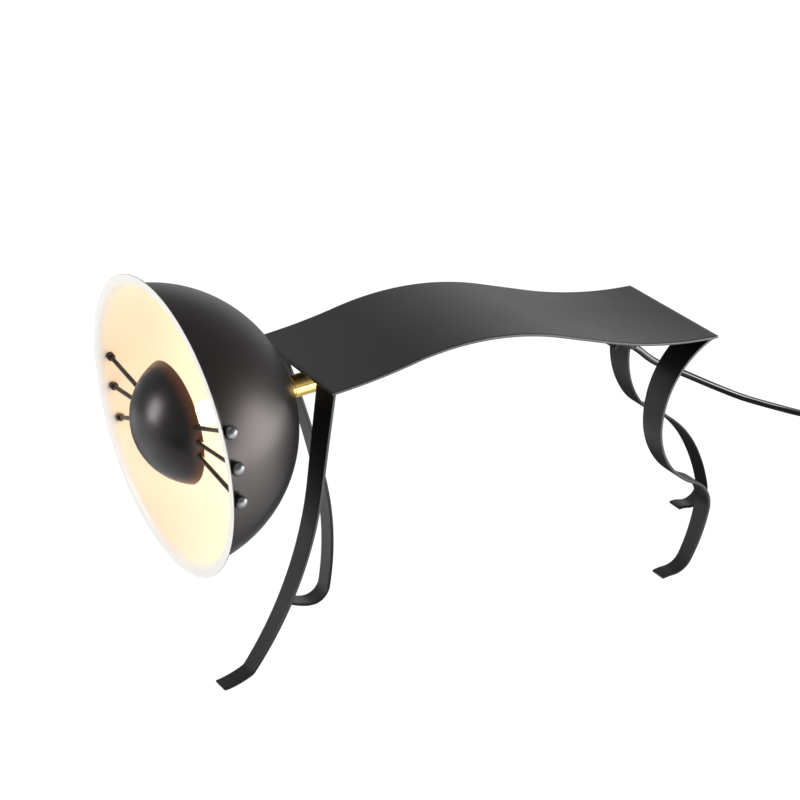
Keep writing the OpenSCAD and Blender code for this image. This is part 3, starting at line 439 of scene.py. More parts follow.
# Section at each station: |y/width|^p + |z/height|^p = 1, with the ribs as a raised cosine taken off the neck
def plugGrid():
    along, wide, high, square = (v[:, None] for v in smoothCurve(plug["stations"], plug["step"]).T)
    start, end, spacing = plug["ribs"]
    ribbed = (along > start) & (along < end)
    dip = plug["ribDepth"] / 2 * (1 - np.cos(2 * math.pi * (along - start) / spacing)) * ribbed
    angle = np.linspace(0, 2 * math.pi, plug["sides"], endpoint=False)[None, :]
    y = np.sign(np.cos(angle)) * np.abs(np.cos(angle))**(2 / square) * (wide - dip)
    z = np.sign(np.sin(angle)) * np.abs(np.sin(angle))**(2 / square) * (high - dip)
    return plugPlace + np.stack([-along + 0 * y, y, z], axis=-1)


plugPiece = makePiece("plugBody", [plugGrid()], "stand")
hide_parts("plug_body")

print("switch, plug and tie on the cord")

# Back plate: the same arcs as the metal
plate = {
    "front": 121.6,
    "height": 192.5,
    "slope": 6,
    "lengths": [60, 111.2, 37.6, 90],
    "bends": [7.6, -30.3, 0, 17],
    "width": 110,
    "sheet": 2,
    "edge": 0.45,  # rounding left by the paint
    "endInto": (0, 0.29, 1.0),  # rows of a rounded end: how far in, and the section's inset, as parts of the edge
    "endInset": (0.9, 0.29, 0),
    "step": 3,
    "legStep": 1.2,
}
plateStart = np.array([-plate["front"], plate["height"], plate["slope"]])


def plateAt(distance):
    return placeAlong(plateStart, plate["lengths"], plate["bends"], distance)


# Rows for a rounded end: places a little inside each end of a way, and how far the section is inset there
def softEnds(way, edge):
    into, inset = edge * np.array(plate["endInto"]), edge * np.array(plate["endInset"])
    heading = np.radians(way[[0, -1], 2])
    step = np.stack([np.cos(heading), np.sin(heading), 0 * heading], axis=-1)
    first = way[0] + into[:, None] * step[0]
    last = way[-1] - into[::-1, None] * step[1]
    return np.vstack([first, way[1:-1], last]), np.concatenate([inset, np.zeros(len(way) - 2), inset[::-1]])


# Strip: a rectangle with four small corner arcs, and a line beside each arc that keeps the faces flat
def stripGrid(way, inset, shift, middle, width, sheet, edge):
    turn = np.radians([0, 30, 60, 90, 90])
    beside = np.array([0, 0, 0, 0, 1.0])
    columns = []
    for sideY, sideN in [(1, 1), (-1, 1), (-1, -1), (1, -1)]:
        even = np.ones(len(turn))
        corner = np.stack([sideY * even, sideN * even, sideY * np.cos(turn), sideN * np.sin(turn), sideY * beside])
        columns.append(corner if sideY * sideN > 0 else corner[:, ::-1])
    across, over, cosines, sines, back = (v[None, :] for v in np.concatenate(columns, axis=1))
    x, z, heading = (v[:, None] for v in way.T)
    heading = np.radians(heading)
    radius = (edge - inset)[:, None]
    y = middle[:, None] + across * (width[:, None] / 2 - edge) + radius * cosines - back
    n = shift + over * (sheet / 2 - edge) + radius * sines
    return np.stack([x + n * np.sin(heading), y, z - n * np.cos(heading)], axis=-1)


plateWay, plateInset = softEnds(bentWay(plateStart, plate["lengths"], plate["bends"], plate["step"]), plate["edge"])
evenly = np.ones(len(plateWay))
plateGrid = stripGrid(plateWay, plateInset, plate["sheet"] / 2, 0 * evenly, plate["width"] * evenly, plate["sheet"],
                      plate["edge"])
platePiece = makePiece("backPlate", [plateGrid], "stand")
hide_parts("back_plate")

# Legs: each is a tapering strip that starts in the plate; the front right one ends in a short curl
legs = {
    "front_left_leg": {
        "along": 3.1, "lean": 261.3, "side": -1, "edge": 53, "top": 24, "toe": 13.5, "into": 1.2,
        "lengths": [65, 130.5, 2.2, 20.8], "bends": [0.4, -29.8, -25, -18.8]},
    "front_right_leg": {
        "along": 4.7, "lean": 291.1, "side": 1, "edge": 41.5, "top": 20, "toe": 14, "into": 1.2,
        "lengths": [105.8, 78.9, 20.7, 15], "bends": [-8.6, -21.4, -92.1, -13.6]},
    "rear_left_leg": {
        "along": 296.1, "lean": 205.4, "side": -1, "edge": 53, "top": 28.5, "toe": 13, "into": 2,
        "lengths": [75.9, 58, 28.5, 38, 16.7, 8.9], "bends": [63.2, 69.4, -80.4, -18, -58.8, 14.4]},
    "rear_right_leg": {
        "along": 290.1, "lean": 236.3, "side": 1, "edge": 47.7, "top": 28, "toe": 13, "into": 1.4,
        "lengths": [79, 18.9, 55.6, 37.3, 24, 8.5], "bends": [69, 28.5, -35.5, -15.6, -117.3, 23.5]},
}
legPieces = []
for name, leg in legs.items():
    at = rightOf(plateAt(leg["along"]), plate["sheet"])
    top = arcEnd(np.array([at[0], at[1], leg["lean"]]), -leg["into"])
    way = bentWay(top, [leg["into"]] + leg["lengths"], [0] + leg["bends"], plate["legStep"])
    way, inset = softEnds(way, plate["edge"])
    width = leg["toe"] + (leg["top"] - leg["toe"]) * way[:, 1] / plate["height"]
    grid = stripGrid(way, inset, 0, leg["side"] * (leg["edge"] - width / 2), width, plate["sheet"], plate["edge"])
    grid[..., 2] = np.maximum(grid[..., 2], 0)
    piece = makePiece(name.replace("_l", "L").replace("_r", "R"), [grid], "stand")
    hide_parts(name)
    legPieces.append(piece)
print("plate and legs bent")

# Head: distances ahead of the knuckle pivot along the shade's axis, and up and across from it
head = {
    "back": 20.5,  # behind the plate's front edge
    "drop": 14.9,  # below it
    "tilt": 4.9,
    "yaw": 1.35,
    "bulb": 75,  # its middle
    "sides": 160,
}
bowl = {
    "radius": 93.2,
    "depth": 86.9,
    "sheet": 1.2,
    "back": 27.7,  # ahead of the pivot
    "lip": 99.9,
    "flare": 2.6,
    "flareInto": 0.3,
    "hole": 5.1,
    "arcPoints": 90,
    "flareSoft": (0.7, 1.1),  # rounding before and after the flare's root
    "flareCorner": (0.33, 0.34),
    "lipSoft": (0.8, 1),  # rounding before and after the lip's root
    "lipTurn": 150,  # degrees of the rounding at the lip's edge
    "mouthSoft": (1.2, 1),  # inside the lip
    "throatSoft": (2, 2.9, 4.2, 4.6),  # behind the rim: start, corner, end, and the first row of the sphere
    "lipRows": (3, 5),  # of the profile, before and after its outside ends
}
tilt, yaw = math.radians(head["tilt"]), math.radians(head["yaw"])
ahead = np.array([-math.cos(tilt) * math.cos(yaw), -math.cos(tilt) * math.sin(yaw), -math.sin(tilt)])
upward = np.array([-math.sin(tilt) * math.cos(yaw), -math.sin(tilt) * math.sin(yaw), math.cos(tilt)])
acrossHead = np.array([-math.sin(yaw), math.cos(yaw), 0])
rim = bowl["back"] + bowl["depth"]
pivot = np.array([head["back"] - plate["front"], rim * math.cos(tilt) * math.sin(yaw), plate["height"] - head["drop"]])


def headGrid(profile):
    return turnedGrid(profile, pivot, ahead, upward, acrossHead, head["sides"])


# Bowl: an outer and an inner sphere, each leading through a flare of 45 degrees into the flat lip
def bowlProfile():
    outer, inner, lip = bowl["radius"], bowl["radius"] - bowl["sheet"], bowl["lip"]
    centre = bowl["back"] + outer
    lipBack = rim - bowl["sheet"]
    half = bowl["sheet"] / 2
    flareBack = lipBack - bowl["flare"]

    def atDistance(radius, distance):
        return math.sqrt(radius**2 - (centre - distance)**2)

    def angleAt(radius, distance):
        return math.degrees(math.acos((centre - distance) / radius))

    root = atDistance(outer, flareBack) - bowl["flareInto"]
    lipRoot = root + bowl["flare"]
    mouth = root - bowl["sheet"] * math.sqrt(2) + rim - flareBack
    holeOut = math.degrees(math.asin(bowl["hole"] / outer))
    holeIn = math.degrees(math.asin(bowl["hole"] / inner))
    flareFrom, flareTo = bowl["flareSoft"]
    cornerBack, cornerOut = bowl["flareCorner"]
    lipFrom, lipTo = bowl["lipSoft"]
    outside = [
        profileArc((centre, 0), outer, holeOut, angleAt(outer, flareBack - 1), bowl["arcPoints"]),
        profileBlend((flareBack - flareFrom, atDistance(outer, flareBack - flareFrom)),
                     (flareBack + cornerBack, root + cornerOut), (flareBack + flareTo, root + flareTo), count=6),
        profileBlend((lipBack - lipFrom, lipRoot - lipFrom), (lipBack, lipRoot), (lipBack, lipRoot + lipTo), count=6),
        np.array([[lipBack, lip - bowl["sheet"]]]),
        profileArc((lipBack + half, lip - half), half, 0, bowl["lipTurn"], count=8),
    ]
    mouthFrom, mouthTo = bowl["mouthSoft"]
    throatFrom, throat, throatTo, sphereFrom = bowl["throatSoft"]
    inside = [
        np.array([[rim, lip - half], [rim, lip - bowl["sheet"]]]),
        profileBlend((rim, mouth + mouthFrom), (rim, mouth), (rim - mouthTo, mouth - mouthTo), count=7),
        profileBlend((rim - throatFrom, mouth - throatFrom), (rim - throat, mouth - throat),
                     (rim - throatTo, atDistance(inner, rim - throatTo)), count=6),
        profileArc((centre, 0), inner, angleAt(inner, rim - sphereFrom), holeIn, bowl["arcPoints"]),
    ]
    outside, inside = np.vstack(outside), np.vstack(inside)
    return np.vstack([outside, inside]), len(outside)


bowlLine, bowlOutside = bowlProfile()
bowlPiece = makePiece("shadeBowl", [headGrid(bowlLine)], "head", joinRows=True)
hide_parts("shade_bowl")

nose = {
    "radius": 44.5,
    "sheet": 1.2,
    "back": 27.1,  # its middle, behind the rim
    "edge": 10.5,  # its edge, behind the rim
    "tip": 0.4,  # degrees left for the small flat at the pole
    "edgeIn": 0.3,  # how far the edge's rounding draws in
    "points": 60,
}


def noseProfile():
    outer, inner = nose["radius"], nose["radius"] - nose["sheet"]
    half = nose["sheet"] / 2
    centre, edge = (rim - nose["back"], 0), rim - nose["edge"]
    outerEdge = 180 - math.degrees(math.acos((edge + half - centre[0]) / outer))
    innerEdge = 180 - math.degrees(math.acos((edge + half - centre[0]) / inner))
    outside = profileArc(centre, outer, 180 - nose["tip"], outerEdge, nose["points"])
    inside = profileArc(centre, inner, innerEdge, 180 - nose["tip"], nose["points"])
    turn = (edge - half, math.sqrt(outer**2 - (edge - centre[0])**2) - nose["edgeIn"])
    return np.vstack([outside, profileBlend(outside[-1], turn, inside[0], count=7)[1:-1], inside])


noseTip = pivot + (rim - nose["back"] + nose["radius"]) * ahead
bulbMiddle = pivot + head["bulb"] * ahead
nosePiece = makePiece("noseDome", [headGrid(noseProfile())], "head")
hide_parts("nose_dome")

# Cap nuts: a neck and a rounded cap on the outer end of each whisker
capNut = {
    "behind": 7,  # the whiskers' plane, behind the rim
    "roll": 4,
    "step": 14,
    "neck": (3, 2),  # radius, length
    "sunk": 0.8,  # of the neck, in the bowl's wall
    "neckSoft": (0.3, 0.2),  # last straight row and rounding, below the cap
    "cap": (4.5, 5.6),
    "base": 0.5,  # rounding of the cap's base
    "ball": 5.58,
    "edgeRun": 0.6,  # of the side, in the rounding above it
    "edgeTurn": (7, 10),  # degrees up the ball: end of the rounding, first row of the ball
    "tip": 1,  # degrees left for the small flat at the top
    "sides": 40,
}


# Profile out along the whisker: straight neck, flat base, short side, ball
def capGrids():
    neck, neckLong = capNut["neck"]
    wide, tall = capNut["cap"]
    base, ball = capNut["base"], capNut["ball"]
    plane = rim - capNut["behind"]
    foot = math.sqrt(bowl["radius"]**2 - (bowl["back"] + bowl["radius"] - plane)**2)
    lastRow, soft = capNut["neckSoft"]
    softTurn, ballTurn = capNut["edgeTurn"]
    middle = neckLong + tall - ball
    sideEnd = math.degrees(math.asin(wide / ball))
    edgeAt = middle + ball * math.cos(math.radians(sideEnd))
    softEnd = math.radians(sideEnd - softTurn)
    profile = np.vstack([
        [[-capNut["sunk"], neck], [neckLong - lastRow, neck]],
        profileBlend((neckLong - soft, neck), (neckLong, neck), (neckLong, neck + soft), count=3),
        profileArc((neckLong + base, wide - base), base, 0, 90, count=5),
        profileBlend((edgeAt - capNut["edgeRun"], wide), (edgeAt, wide),
                     (middle + ball * math.cos(softEnd), ball * math.sin(softEnd)), count=5),
        profileArc((middle, 0), ball, 180 - sideEnd + ballTurn, 180 - capNut["tip"], count=16),
    ])
    grids = []
    for side in (-90, 90):
        for k in (-1, 0, 1):
            angle = math.radians(side + capNut["roll"] + k * capNut["step"])
            out = math.cos(angle) * upward + math.sin(angle) * acrossHead
            grids.append(turnedGrid(profile, pivot + plane * ahead + foot * out, out, ahead, np.cross(out, ahead),
                                    capNut["sides"]))
    return grids


capPiece = makePiece("whiskerCapNuts", capGrids(), "head")
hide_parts("whisker_cap_nuts")
print("shade, nose and cap nuts turned")

# Cord under the plate: out of the stem, two arcs up to the plate, along it, two arcs down to the strain relief
underCord = {
    "stemEnd": 22.8,  # its start, behind the pivot
    "straight": 9,
    "joins": 118,
    "leaves": 224.7,  # along the plate
    "space": 0.3,
    "lead": 2,  # straight, before the strain relief
}
relief = {
    "tip": 3.4,
    "root": 5.4,
    "length": 17,
    "tab": 2,
    "neck": 4.5,
    "head": 6,
    "headSheet": 3,
    "ribs": (2.2, 14.6, 3.1),  # from, to, spacing, back from the tip
    "ribDepth": 0.7,
    "points": 86,  # along the sleeve
    "soft": (0.4, 0.12),  # rounding of the tip and of the head's front: reach, and how far its middle is inside
    "endSoft": (0.8, 0.25),  # of the head's end
    "sides": 48,
}
below = plate["sheet"] + underCord["space"] + cord["diameter"] / 2
stemPlace = arcEnd(np.array([pivot[0], pivot[2], head["tilt"]]), underCord["stemEnd"])
risePlace = arcEnd(stemPlace, underCord["straight"])
joinPlace = rightOf(plateAt(underCord["joins"]), below)
leavePlace = rightOf(plateAt(underCord["leaves"]), below)
lastRun = underCord["lead"] + relief["headSheet"] + relief["tab"] + relief["length"]
dropPlace = arcEnd(np.array([exitPoint[0], exitPoint[2], cord["slope"]]), -lastRun)
riseRuns, riseBends = twoArcs(risePlace, joinPlace)
dropRuns, dropBends = twoArcs(leavePlace, dropPlace)
plateRuns, plateBends, startsAt = [], [], 0
for run, bend in zip(plate["lengths"], plate["bends"]):
    part = (min(startsAt + run, underCord["leaves"]) - max(startsAt, underCord["joins"])) / run
    startsAt += run
    if part > 0:  # a run beside the plate is longer or shorter than the plate's own arc
        plateRuns.append(part * (run + below * math.radians(bend)))
        plateBends.append(part * bend)
underWay = bentWay(stemPlace, [underCord["straight"]] + riseRuns + plateRuns + dropRuns + [lastRun],
                   [0] + riseBends + plateBends + dropBends + [0], cord["step"])
aside = pivot[1] + math.tan(yaw) * (underWay[:, 0] - pivot[0])
aside *= 1 - ease((underWay[:, 0] - risePlace[0]) / (joinPlace[0] - risePlace[0]))
underPath = np.column_stack([underWay[:, 0], aside, underWay[:, 1]])
underPiece = makePiece("bodyCord", [tubeGrid(underPath, cord["diameter"] / 2, cord["sides"])], "stand")
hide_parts("body_cord")


# Strain relief: a tapering sleeve with ribs as raised cosines, a neck through the tab and a head behind it
def reliefGrid():
    start, end, spacing = relief["ribs"]
    back = np.linspace(0, relief["length"], relief["points"])
    taper = relief["tip"] + (relief["root"] - relief["tip"]) * back / relief["length"]
    ribbed = (back > start) & (back < end)
    dip = relief["ribDepth"] / 2 * (1 - np.cos(2 * math.pi * (back - start) / spacing)) * ribbed
    tabEnd = relief["length"] + relief["tab"]
    headEnd = tabEnd + relief["headSheet"]
    bore, tip, neck, wide = cord["diameter"] / 2, relief["tip"], relief["neck"], relief["head"]
    reach, middle = relief["soft"]
    endReach, endMiddle = relief["endSoft"]
    profile = np.vstack([
        [[0, bore], [0, tip - reach], [middle, tip - middle]],
        np.column_stack([back[2:], (taper - dip)[2:]]),
        [[relief["length"], neck], [tabEnd, neck]],
        [[tabEnd, wide - reach], [tabEnd + middle, wide - middle], [tabEnd + reach, wide]],
        [[headEnd - endReach, wide], [headEnd - endMiddle, wide - endMiddle], [headEnd, wide - endReach]],
        [[headEnd, bore]],
    ])
    across = np.array([0, 1.0, 0])
    return turnedGrid(profile, exitPoint, -exitWay, across, np.cross(exitWay, across), relief["sides"])


reliefPiece = makePiece("strainRelief", [reliefGrid()], "stand", joinRows=True)
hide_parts("strain_relief")
print("cord under the plate laid")


# Materials: shared effects are groups that give a colour, a value or a height over the surface
def newGroup(name, inputs, outputs):
    group = bpy.data.node_groups.new(name, "ShaderNodeTree")
    for label, kind, value in inputs:
        socket = group.interface.new_socket(label, in_out="INPUT", socket_type=kind)
        socket.default_value = value
    for label, kind in outputs:
        group.interface.new_socket(label, in_out="OUTPUT", socket_type=kind)
    return group, group.nodes.new("NodeGroupInput"), group.nodes.new("NodeGroupOutput")


def link(tree, source, target):
    tree.links.new(source, target)


def fadeNode(tree, source, start, end):
    fade = tree.nodes.new("ShaderNodeMapRange")
    fade.interpolation_type = "SMOOTHSTEP"
    for key, (place, value) in zip(("Min", "Max"), (start, end)):
        fade.inputs["From " + key].default_value = place
        fade.inputs["To " + key].default_value = value
    link(tree, source, fade.inputs["Value"])
    return fade.outputs["Result"]


noises = {
    "driftDetail": 4,
    "driftSpan": (0.3, 0.7),  # of the noise, from one roughness to the other
    "grainDetail": 2,
    "grainScale": 900.0,
    "grainDepth": 0.2,
}


# Drift: a slow noise that leads from one colour to another and from one roughness to another
def makeDrift():
    group, given, result = newGroup("finishDrift", [
        ("Dark", "NodeSocketColor", (0, 0, 0, 1)), ("Light", "NodeSocketColor", (1, 1, 1, 1)),
        ("Smooth", "NodeSocketFloat", 0.3), ("Rough", "NodeSocketFloat", 0.5),
        ("Scale", "NodeSocketFloat", 20.0)], [("Color", "NodeSocketColor"), ("Roughness", "NodeSocketFloat")])
    place = group.nodes.new("ShaderNodeTexCoord")
    noise = group.nodes.new("ShaderNodeTexNoise")
    noise.inputs["Detail"].default_value = noises["driftDetail"]
    mix = group.nodes.new("ShaderNodeMix")
    mix.data_type = "RGBA"
    span = group.nodes.new("ShaderNodeMapRange")
    link(group, place.outputs["Object"], noise.inputs["Vector"])
    link(group, given.outputs["Scale"], noise.inputs["Scale"])
    link(group, noise.outputs["Fac"], mix.inputs["Factor"])
    link(group, given.outputs["Dark"], mix.inputs["A"])
    link(group, given.outputs["Light"], mix.inputs["B"])
    span.inputs["From Min"].default_value, span.inputs["From Max"].default_value = noises["driftSpan"]
    link(group, noise.outputs["Fac"], span.inputs["Value"])
    link(group, given.outputs["Smooth"], span.inputs["To Min"])
    link(group, given.outputs["Rough"], span.inputs["To Max"])
    link(group, mix.outputs["Result"], result.inputs["Color"])
    link(group, span.outputs["Result"], result.inputs["Roughness"])
    return group


# Grain: a fine noise as a height, for the texture of paint, moulding or metal
def makeGrain():
    group, given, result = newGroup("finishGrain", [("Scale", "NodeSocketFloat", noises["grainScale"])],
                                    [("Height", "NodeSocketFloat")])
    place = group.nodes.new("ShaderNodeTexCoord")
    noise = group.nodes.new("ShaderNodeTexNoise")
    noise.inputs["Detail"].default_value = noises["grainDetail"]
    link(group, place.outputs["Object"], noise.inputs["Vector"])
    link(group, given.outputs["Scale"], noise.inputs["Scale"])
    link(group, noise.outputs["Fac"], result.inputs["Height"])
    return group


driftGroup = makeDrift()
grainGroup = makeGrain()

# Each finish drifts between two colours and two roughnesses; drift and grain are the noises' scales
finishes = {
    "satinCharcoal": {"dark": (0.0025, 0.0024, 0.0026), "light": (0.0035, 0.0034, 0.0035), "rough": (0.34, 0.40),
                      "drift": 14, "grain": 1400, "bump": 0.06, "tint": (1, 0.97, 0.95)},
    "shadeCharcoal": {"dark": (0.0010, 0.0009, 0.0009), "light": (0.0016, 0.0014, 0.0013), "rough": (0.34, 0.39),
                      "drift": 12, "grain": 1400, "bump": 0.05, "tint": (1, 0.88, 0.86)},
    # the nose's orange emission near its edge is painted light, standing in for bulb light leaking round the dome
    "noseCharcoal": {"dark": (0.0010, 0.0009, 0.0009), "light": (0.0016, 0.0014, 0.0013), "rough": (0.28, 0.33),
                     "drift": 12, "grain": 1400, "bump": 0.05, "tint": (1, 0.92, 0.94),
                     "paintedBulbLight": (1.0, 0.33, 0.08), "from": noseTip, "near": (41, 0), "far": (51.5, 0.1)},
    # the lip is a copy of the white enamel, a little darker as painted shade, with a faint glow of painted light
    "whiteLip": {"dark": (0.75, 0.73, 0.70), "light": (0.80, 0.78, 0.75), "rough": (0.35, 0.45),
                 "drift": 18, "grain": 1200, "bump": 0.04, "glow": (1.0, 0.95, 0.89), "strength": 0.04},
    # the enamel's emission round the bulb is a painted pool of bulb light, added to the real light of the bulb
    "whiteEnamel": {"dark": (0.80, 0.78, 0.74), "light": (0.86, 0.84, 0.80), "rough": (0.35, 0.45),
                    "drift": 18, "grain": 1200, "bump": 0.04,
                    "paintedBulbLight": (1.0, 0.9, 0.7), "from": bulbMiddle, "near": (36, 0.3), "far": (75, 0)},
    "brass": {"dark": (0.70, 0.46, 0.12), "light": (0.86, 0.62, 0.22), "rough": (0.13, 0.22),
              "drift": 120, "grain": 2500, "bump": 0.02, "metallic": 1},
    "steel": {"dark": (0.40, 0.40, 0.41), "light": (0.55, 0.55, 0.56), "rough": (0.22, 0.34),
              "drift": 90, "grain": 2500, "bump": 0.03, "metallic": 1},
    "polishedSteel": {"dark": (0.12, 0.12, 0.125), "light": (0.17, 0.17, 0.175), "rough": (0.28, 0.36),
                      "drift": 150, "grain": 3000, "bump": 0.01, "metallic": 1},
    "blackRod": {"dark": (0.02, 0.018, 0.017), "light": (0.035, 0.03, 0.027), "rough": (0.25, 0.35),
                 "drift": 100, "grain": 2500, "bump": 0.02, "metallic": 0.6},
    "ceramic": {"dark": (0.74, 0.72, 0.66), "light": (0.82, 0.80, 0.75), "rough": (0.25, 0.4),
                "drift": 60, "grain": 900, "bump": 0.03},
    "blackCord": {"dark": (0.003, 0.003, 0.003), "light": (0.005, 0.005, 0.005), "rough": (0.06, 0.10),
                  "drift": 60, "grain": 1800, "bump": 0.03},
    "blackRubber": {"dark": (0.014, 0.014, 0.014), "light": (0.022, 0.022, 0.022), "rough": (0.5, 0.62),
                    "drift": 60, "grain": 1600, "bump": 0.08},
    "blackPlastic": {"dark": (0.014, 0.014, 0.015), "light": (0.020, 0.020, 0.021), "rough": (0.32, 0.42),
                     "drift": 50, "grain": 1700, "bump": 0.10},
    "opalGlass": {"dark": (0.90, 0.86, 0.78), "light": (0.95, 0.92, 0.86), "rough": (0.2, 0.3),
                  "drift": 60, "grain": 900, "bump": 0.01, "glow": (1.0, 0.60, 0.26), "strength": 31},
}


def makeFinish(name, look):
    material = bpy.data.materials.new(name)
    material.use_nodes = True
    tree = material.node_tree
    shader = tree.nodes["Principled BSDF"]
    drift = tree.nodes.new("ShaderNodeGroup")
    drift.node_tree = driftGroup
    drift.inputs["Dark"].default_value = (*look["dark"], 1)
    drift.inputs["Light"].default_value = (*look["light"], 1)
    drift.inputs["Smooth"].default_value, drift.inputs["Rough"].default_value = look["rough"]
    drift.inputs["Scale"].default_value = look["drift"]
    grain = tree.nodes.new("ShaderNodeGroup")
    grain.node_tree = grainGroup
    grain.inputs["Scale"].default_value = look["grain"]
    bump = tree.nodes.new("ShaderNodeBump")
    bump.inputs["Strength"].default_value = look["bump"]
    bump.inputs["Distance"].default_value = noises["grainDepth"] * mm
    link(tree, drift.outputs["Color"], shader.inputs["Base Color"])
    link(tree, drift.outputs["Roughness"], shader.inputs["Roughness"])
    link(tree, grain.outputs["Height"], bump.inputs["Height"])
    link(tree, bump.outputs["Normal"], shader.inputs["Normal"])
    shader.inputs["Metallic"].default_value = look.get("metallic", 0)
    # The tint colours the reflections; the warm tints of the charcoal paints stand in for the warm colour of the
    # light, a painted warmth in their highlights
    shader.inputs["Specular Tint"].default_value = (*look.get("tint", (1, 1, 1)), 1)
    if "glow" in look:
        shader.inputs["Emission Color"].default_value = (*look["glow"], 1)
        shader.inputs["Emission Strength"].default_value = look["strength"]
    if "paintedBulbLight" in look:  # painted light of the bulb, as emission that fades with the distance from a point
        place = tree.nodes.new("ShaderNodeTexCoord")
        away = tree.nodes.new("ShaderNodeVectorMath")
        away.operation = "DISTANCE"
        away.inputs[1].default_value = look["from"] * mm
        link(tree, place.outputs["Object"], away.inputs[0])
        shader.inputs["Emission Color"].default_value = (*look["paintedBulbLight"], 1)
        near, far = look["near"], look["far"]
        strength = fadeNode(tree, away.outputs["Value"], (near[0] * mm, near[1]), (far[0] * mm, far[1]))
        link(tree, strength, shader.inputs["Emission Strength"])
    return material


finish = {name: makeFinish(name, look) for name, look in finishes.items()}

nodeFinish = {
    "satinCharcoal": ["swivel_bracket", "cord_anchor", "cord_clips"],
    "brass": ["swivel_fork", "swivel_pin", "swivel_tongue"],
    "steel": ["turn_stop_pin", "swivel_washer", "swivel_nut", "shade_washer", "shade_nipple", "shade_nut", "dome_nuts",
              "plug_pins"],
    "blackRod": ["whisker_rods", "whisker_collars"],
    "ceramic": ["lamp_holder", "bulb_foot"],
    "opalGlass": ["bulb_envelope"],
}


def dress(piece, *names):
    piece.data.materials.clear()
    for name in names:
        piece.data.materials.append(finish[name])


for name, members in nodeFinish.items():
    for node in members:
        dress(nodes[node], name)
for piece in [platePiece] + legPieces:
    dress(piece, "satinCharcoal")
dress(nosePiece, "noseCharcoal")
dress(bowlPiece, "shadeCharcoal", "whiteLip", "whiteEnamel")
bowlRow = np.repeat(np.arange(len(bowlLine)), head["sides"])
rowsBefore, rowsAfter = bowl["lipRows"]
bowlSkin = 0 + (bowlRow >= bowlOutside - rowsBefore) + (bowlRow >= bowlOutside + rowsAfter)
bowlPiece.data.polygons.foreach_set("material_index", bowlSkin.astype(np.int32))
dress(capPiece, "polishedSteel")
for piece in (cordPiece, underPiece):
    dress(piece, "blackCord")
for piece in (tiePiece, reliefPiece):
    dress(piece, "blackRubber")
for piece in (basePiece, coverPiece, rockerPiece, plugPiece):
    dress(piece, "blackPlastic")
print("finishes set,", len(finish))

# Floor and surroundings, in metres; the camera sees them white, the lamp mirrors soft lights
studio = {
    "floor": 8.0,
    "floorWhite": 1.0,
    "floorDim": (0.12, 0.12, 0.12, 1),
    "floorParts": [  # place, distance and radiance where a part starts to change, and where it ends
        ((1.6, -1.0, 0), 1.15, 8.0, 1.5, 0),
        ((0.1, -0.7, 0), 0.42, 3.2, 0.75, 0),
        ((-0.75, 0.4, 0), 0.3, 1.0, 0.62, 0),
        ((-0.36, 0.02, 0), 0.08, 0.8, 0.27, 0),
        ((-0.05, 0.14, 0), 0.08, 0.65, 0.22, 0),
        ((0, 0, 0), 0.4, 0, 1.4, 0.5),
    ],
    "sky": 0.42,
    "softLights": [  # degrees from +X towards +Y, degrees up, radiance, degrees where it starts to fade and ends
        (-27, -5, 9.0, 12, 26),
        (163, -5, 9.0, 5, 16),
        (163, 15, 9.0, 5, 16),
        (-120, 68, 14.0, 2, 6),
        (48, 6, 0.33, 6, 26),
    ],
}


def addValues(tree, values):
    total = values[0]
    for value in values[1:]:
        add = tree.nodes.new("ShaderNodeMath")
        link(tree, total, add.inputs[0])
        link(tree, value, add.inputs[1])
        total = add.outputs[0]
    return total


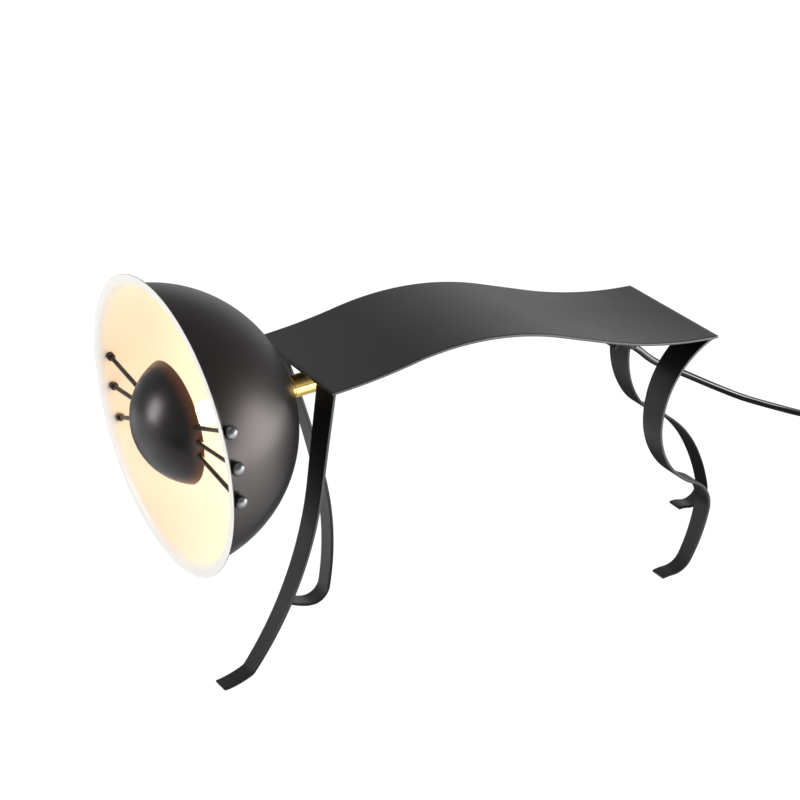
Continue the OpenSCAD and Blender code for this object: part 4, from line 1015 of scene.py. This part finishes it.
# Floor: each lit part fades with the distance from its middle
def makeFloor():
    half = studio["floor"] / 2
    mesh = bpy.data.meshes.new("floor")
    mesh.from_pydata([(-half, -half, 0), (half, -half, 0), (half, half, 0), (-half, half, 0)], [], [(0, 1, 2, 3)])
    floor = bpy.data.objects.new("floor", mesh)
    bpy.context.collection.objects.link(floor)
    material = bpy.data.materials.new("floorPaper")
    material.use_nodes = True
    tree = material.node_tree
    tree.nodes.remove(tree.nodes["Principled BSDF"])
    place = tree.nodes.new("ShaderNodeTexCoord")
    parts = []
    for middle, near, atNear, far, atFar in studio["floorParts"]:
        away = tree.nodes.new("ShaderNodeVectorMath")
        away.operation = "DISTANCE"
        away.inputs[1].default_value = middle
        link(tree, place.outputs["Object"], away.inputs[0])
        parts.append(fadeNode(tree, away.outputs["Value"], (near, atNear), (far, atFar)))
    mirrored = tree.nodes.new("ShaderNodeEmission")
    white = tree.nodes.new("ShaderNodeEmission")
    white.inputs["Strength"].default_value = studio["floorWhite"]
    paper = tree.nodes.new("ShaderNodeBsdfDiffuse")
    paper.inputs["Color"].default_value = studio["floorDim"]
    path = tree.nodes.new("ShaderNodeLightPath")
    pick = tree.nodes.new("ShaderNodeMixShader")
    both = tree.nodes.new("ShaderNodeAddShader")
    link(tree, addValues(tree, parts), mirrored.inputs["Strength"])
    link(tree, path.outputs["Is Camera Ray"], pick.inputs[0])
    link(tree, mirrored.outputs[0], pick.inputs[1])
    link(tree, white.outputs[0], pick.inputs[2])
    link(tree, pick.outputs[0], both.inputs[0])
    link(tree, paper.outputs[0], both.inputs[1])
    link(tree, both.outputs[0], tree.nodes["Material Output"].inputs["Surface"])
    mesh.materials.append(material)


# Sky: dim all round, with soft lights that fade with the angle from their middle
def makeSky():
    world = bpy.data.worlds.new("studio")
    bpy.context.scene.world = world
    world.use_nodes = True
    tree = world.node_tree
    back = tree.nodes["Background"]
    path = tree.nodes.new("ShaderNodeLightPath")
    place = tree.nodes.new("ShaderNodeTexCoord")
    even = tree.nodes.new("ShaderNodeValue")
    even.outputs[0].default_value = studio["sky"]
    lights = [even.outputs[0]]
    for turn, rise, radiance, near, far in studio["softLights"]:
        turn, rise = math.radians(turn), math.radians(rise)
        along = tree.nodes.new("ShaderNodeVectorMath")
        along.operation = "DOT_PRODUCT"
        level = math.cos(rise)
        along.inputs[1].default_value = (math.cos(turn) * level, math.sin(turn) * level, math.sin(rise))
        link(tree, place.outputs["Generated"], along.inputs[0])
        lights.append(fadeNode(tree, along.outputs["Value"], (math.cos(math.radians(far)), 0),
                               (math.cos(math.radians(near)), radiance)))
    pick = tree.nodes.new("ShaderNodeMix")
    pick.inputs["B"].default_value = 1
    back.inputs["Color"].default_value = (1, 1, 1, 1)
    link(tree, path.outputs["Is Camera Ray"], pick.inputs["Factor"])
    link(tree, addValues(tree, lights), pick.inputs["A"])
    link(tree, pick.outputs["Result"], back.inputs["Strength"])


makeFloor()
makeSky()
bpy.context.scene.view_settings.view_transform = "Standard"
print("studio set")
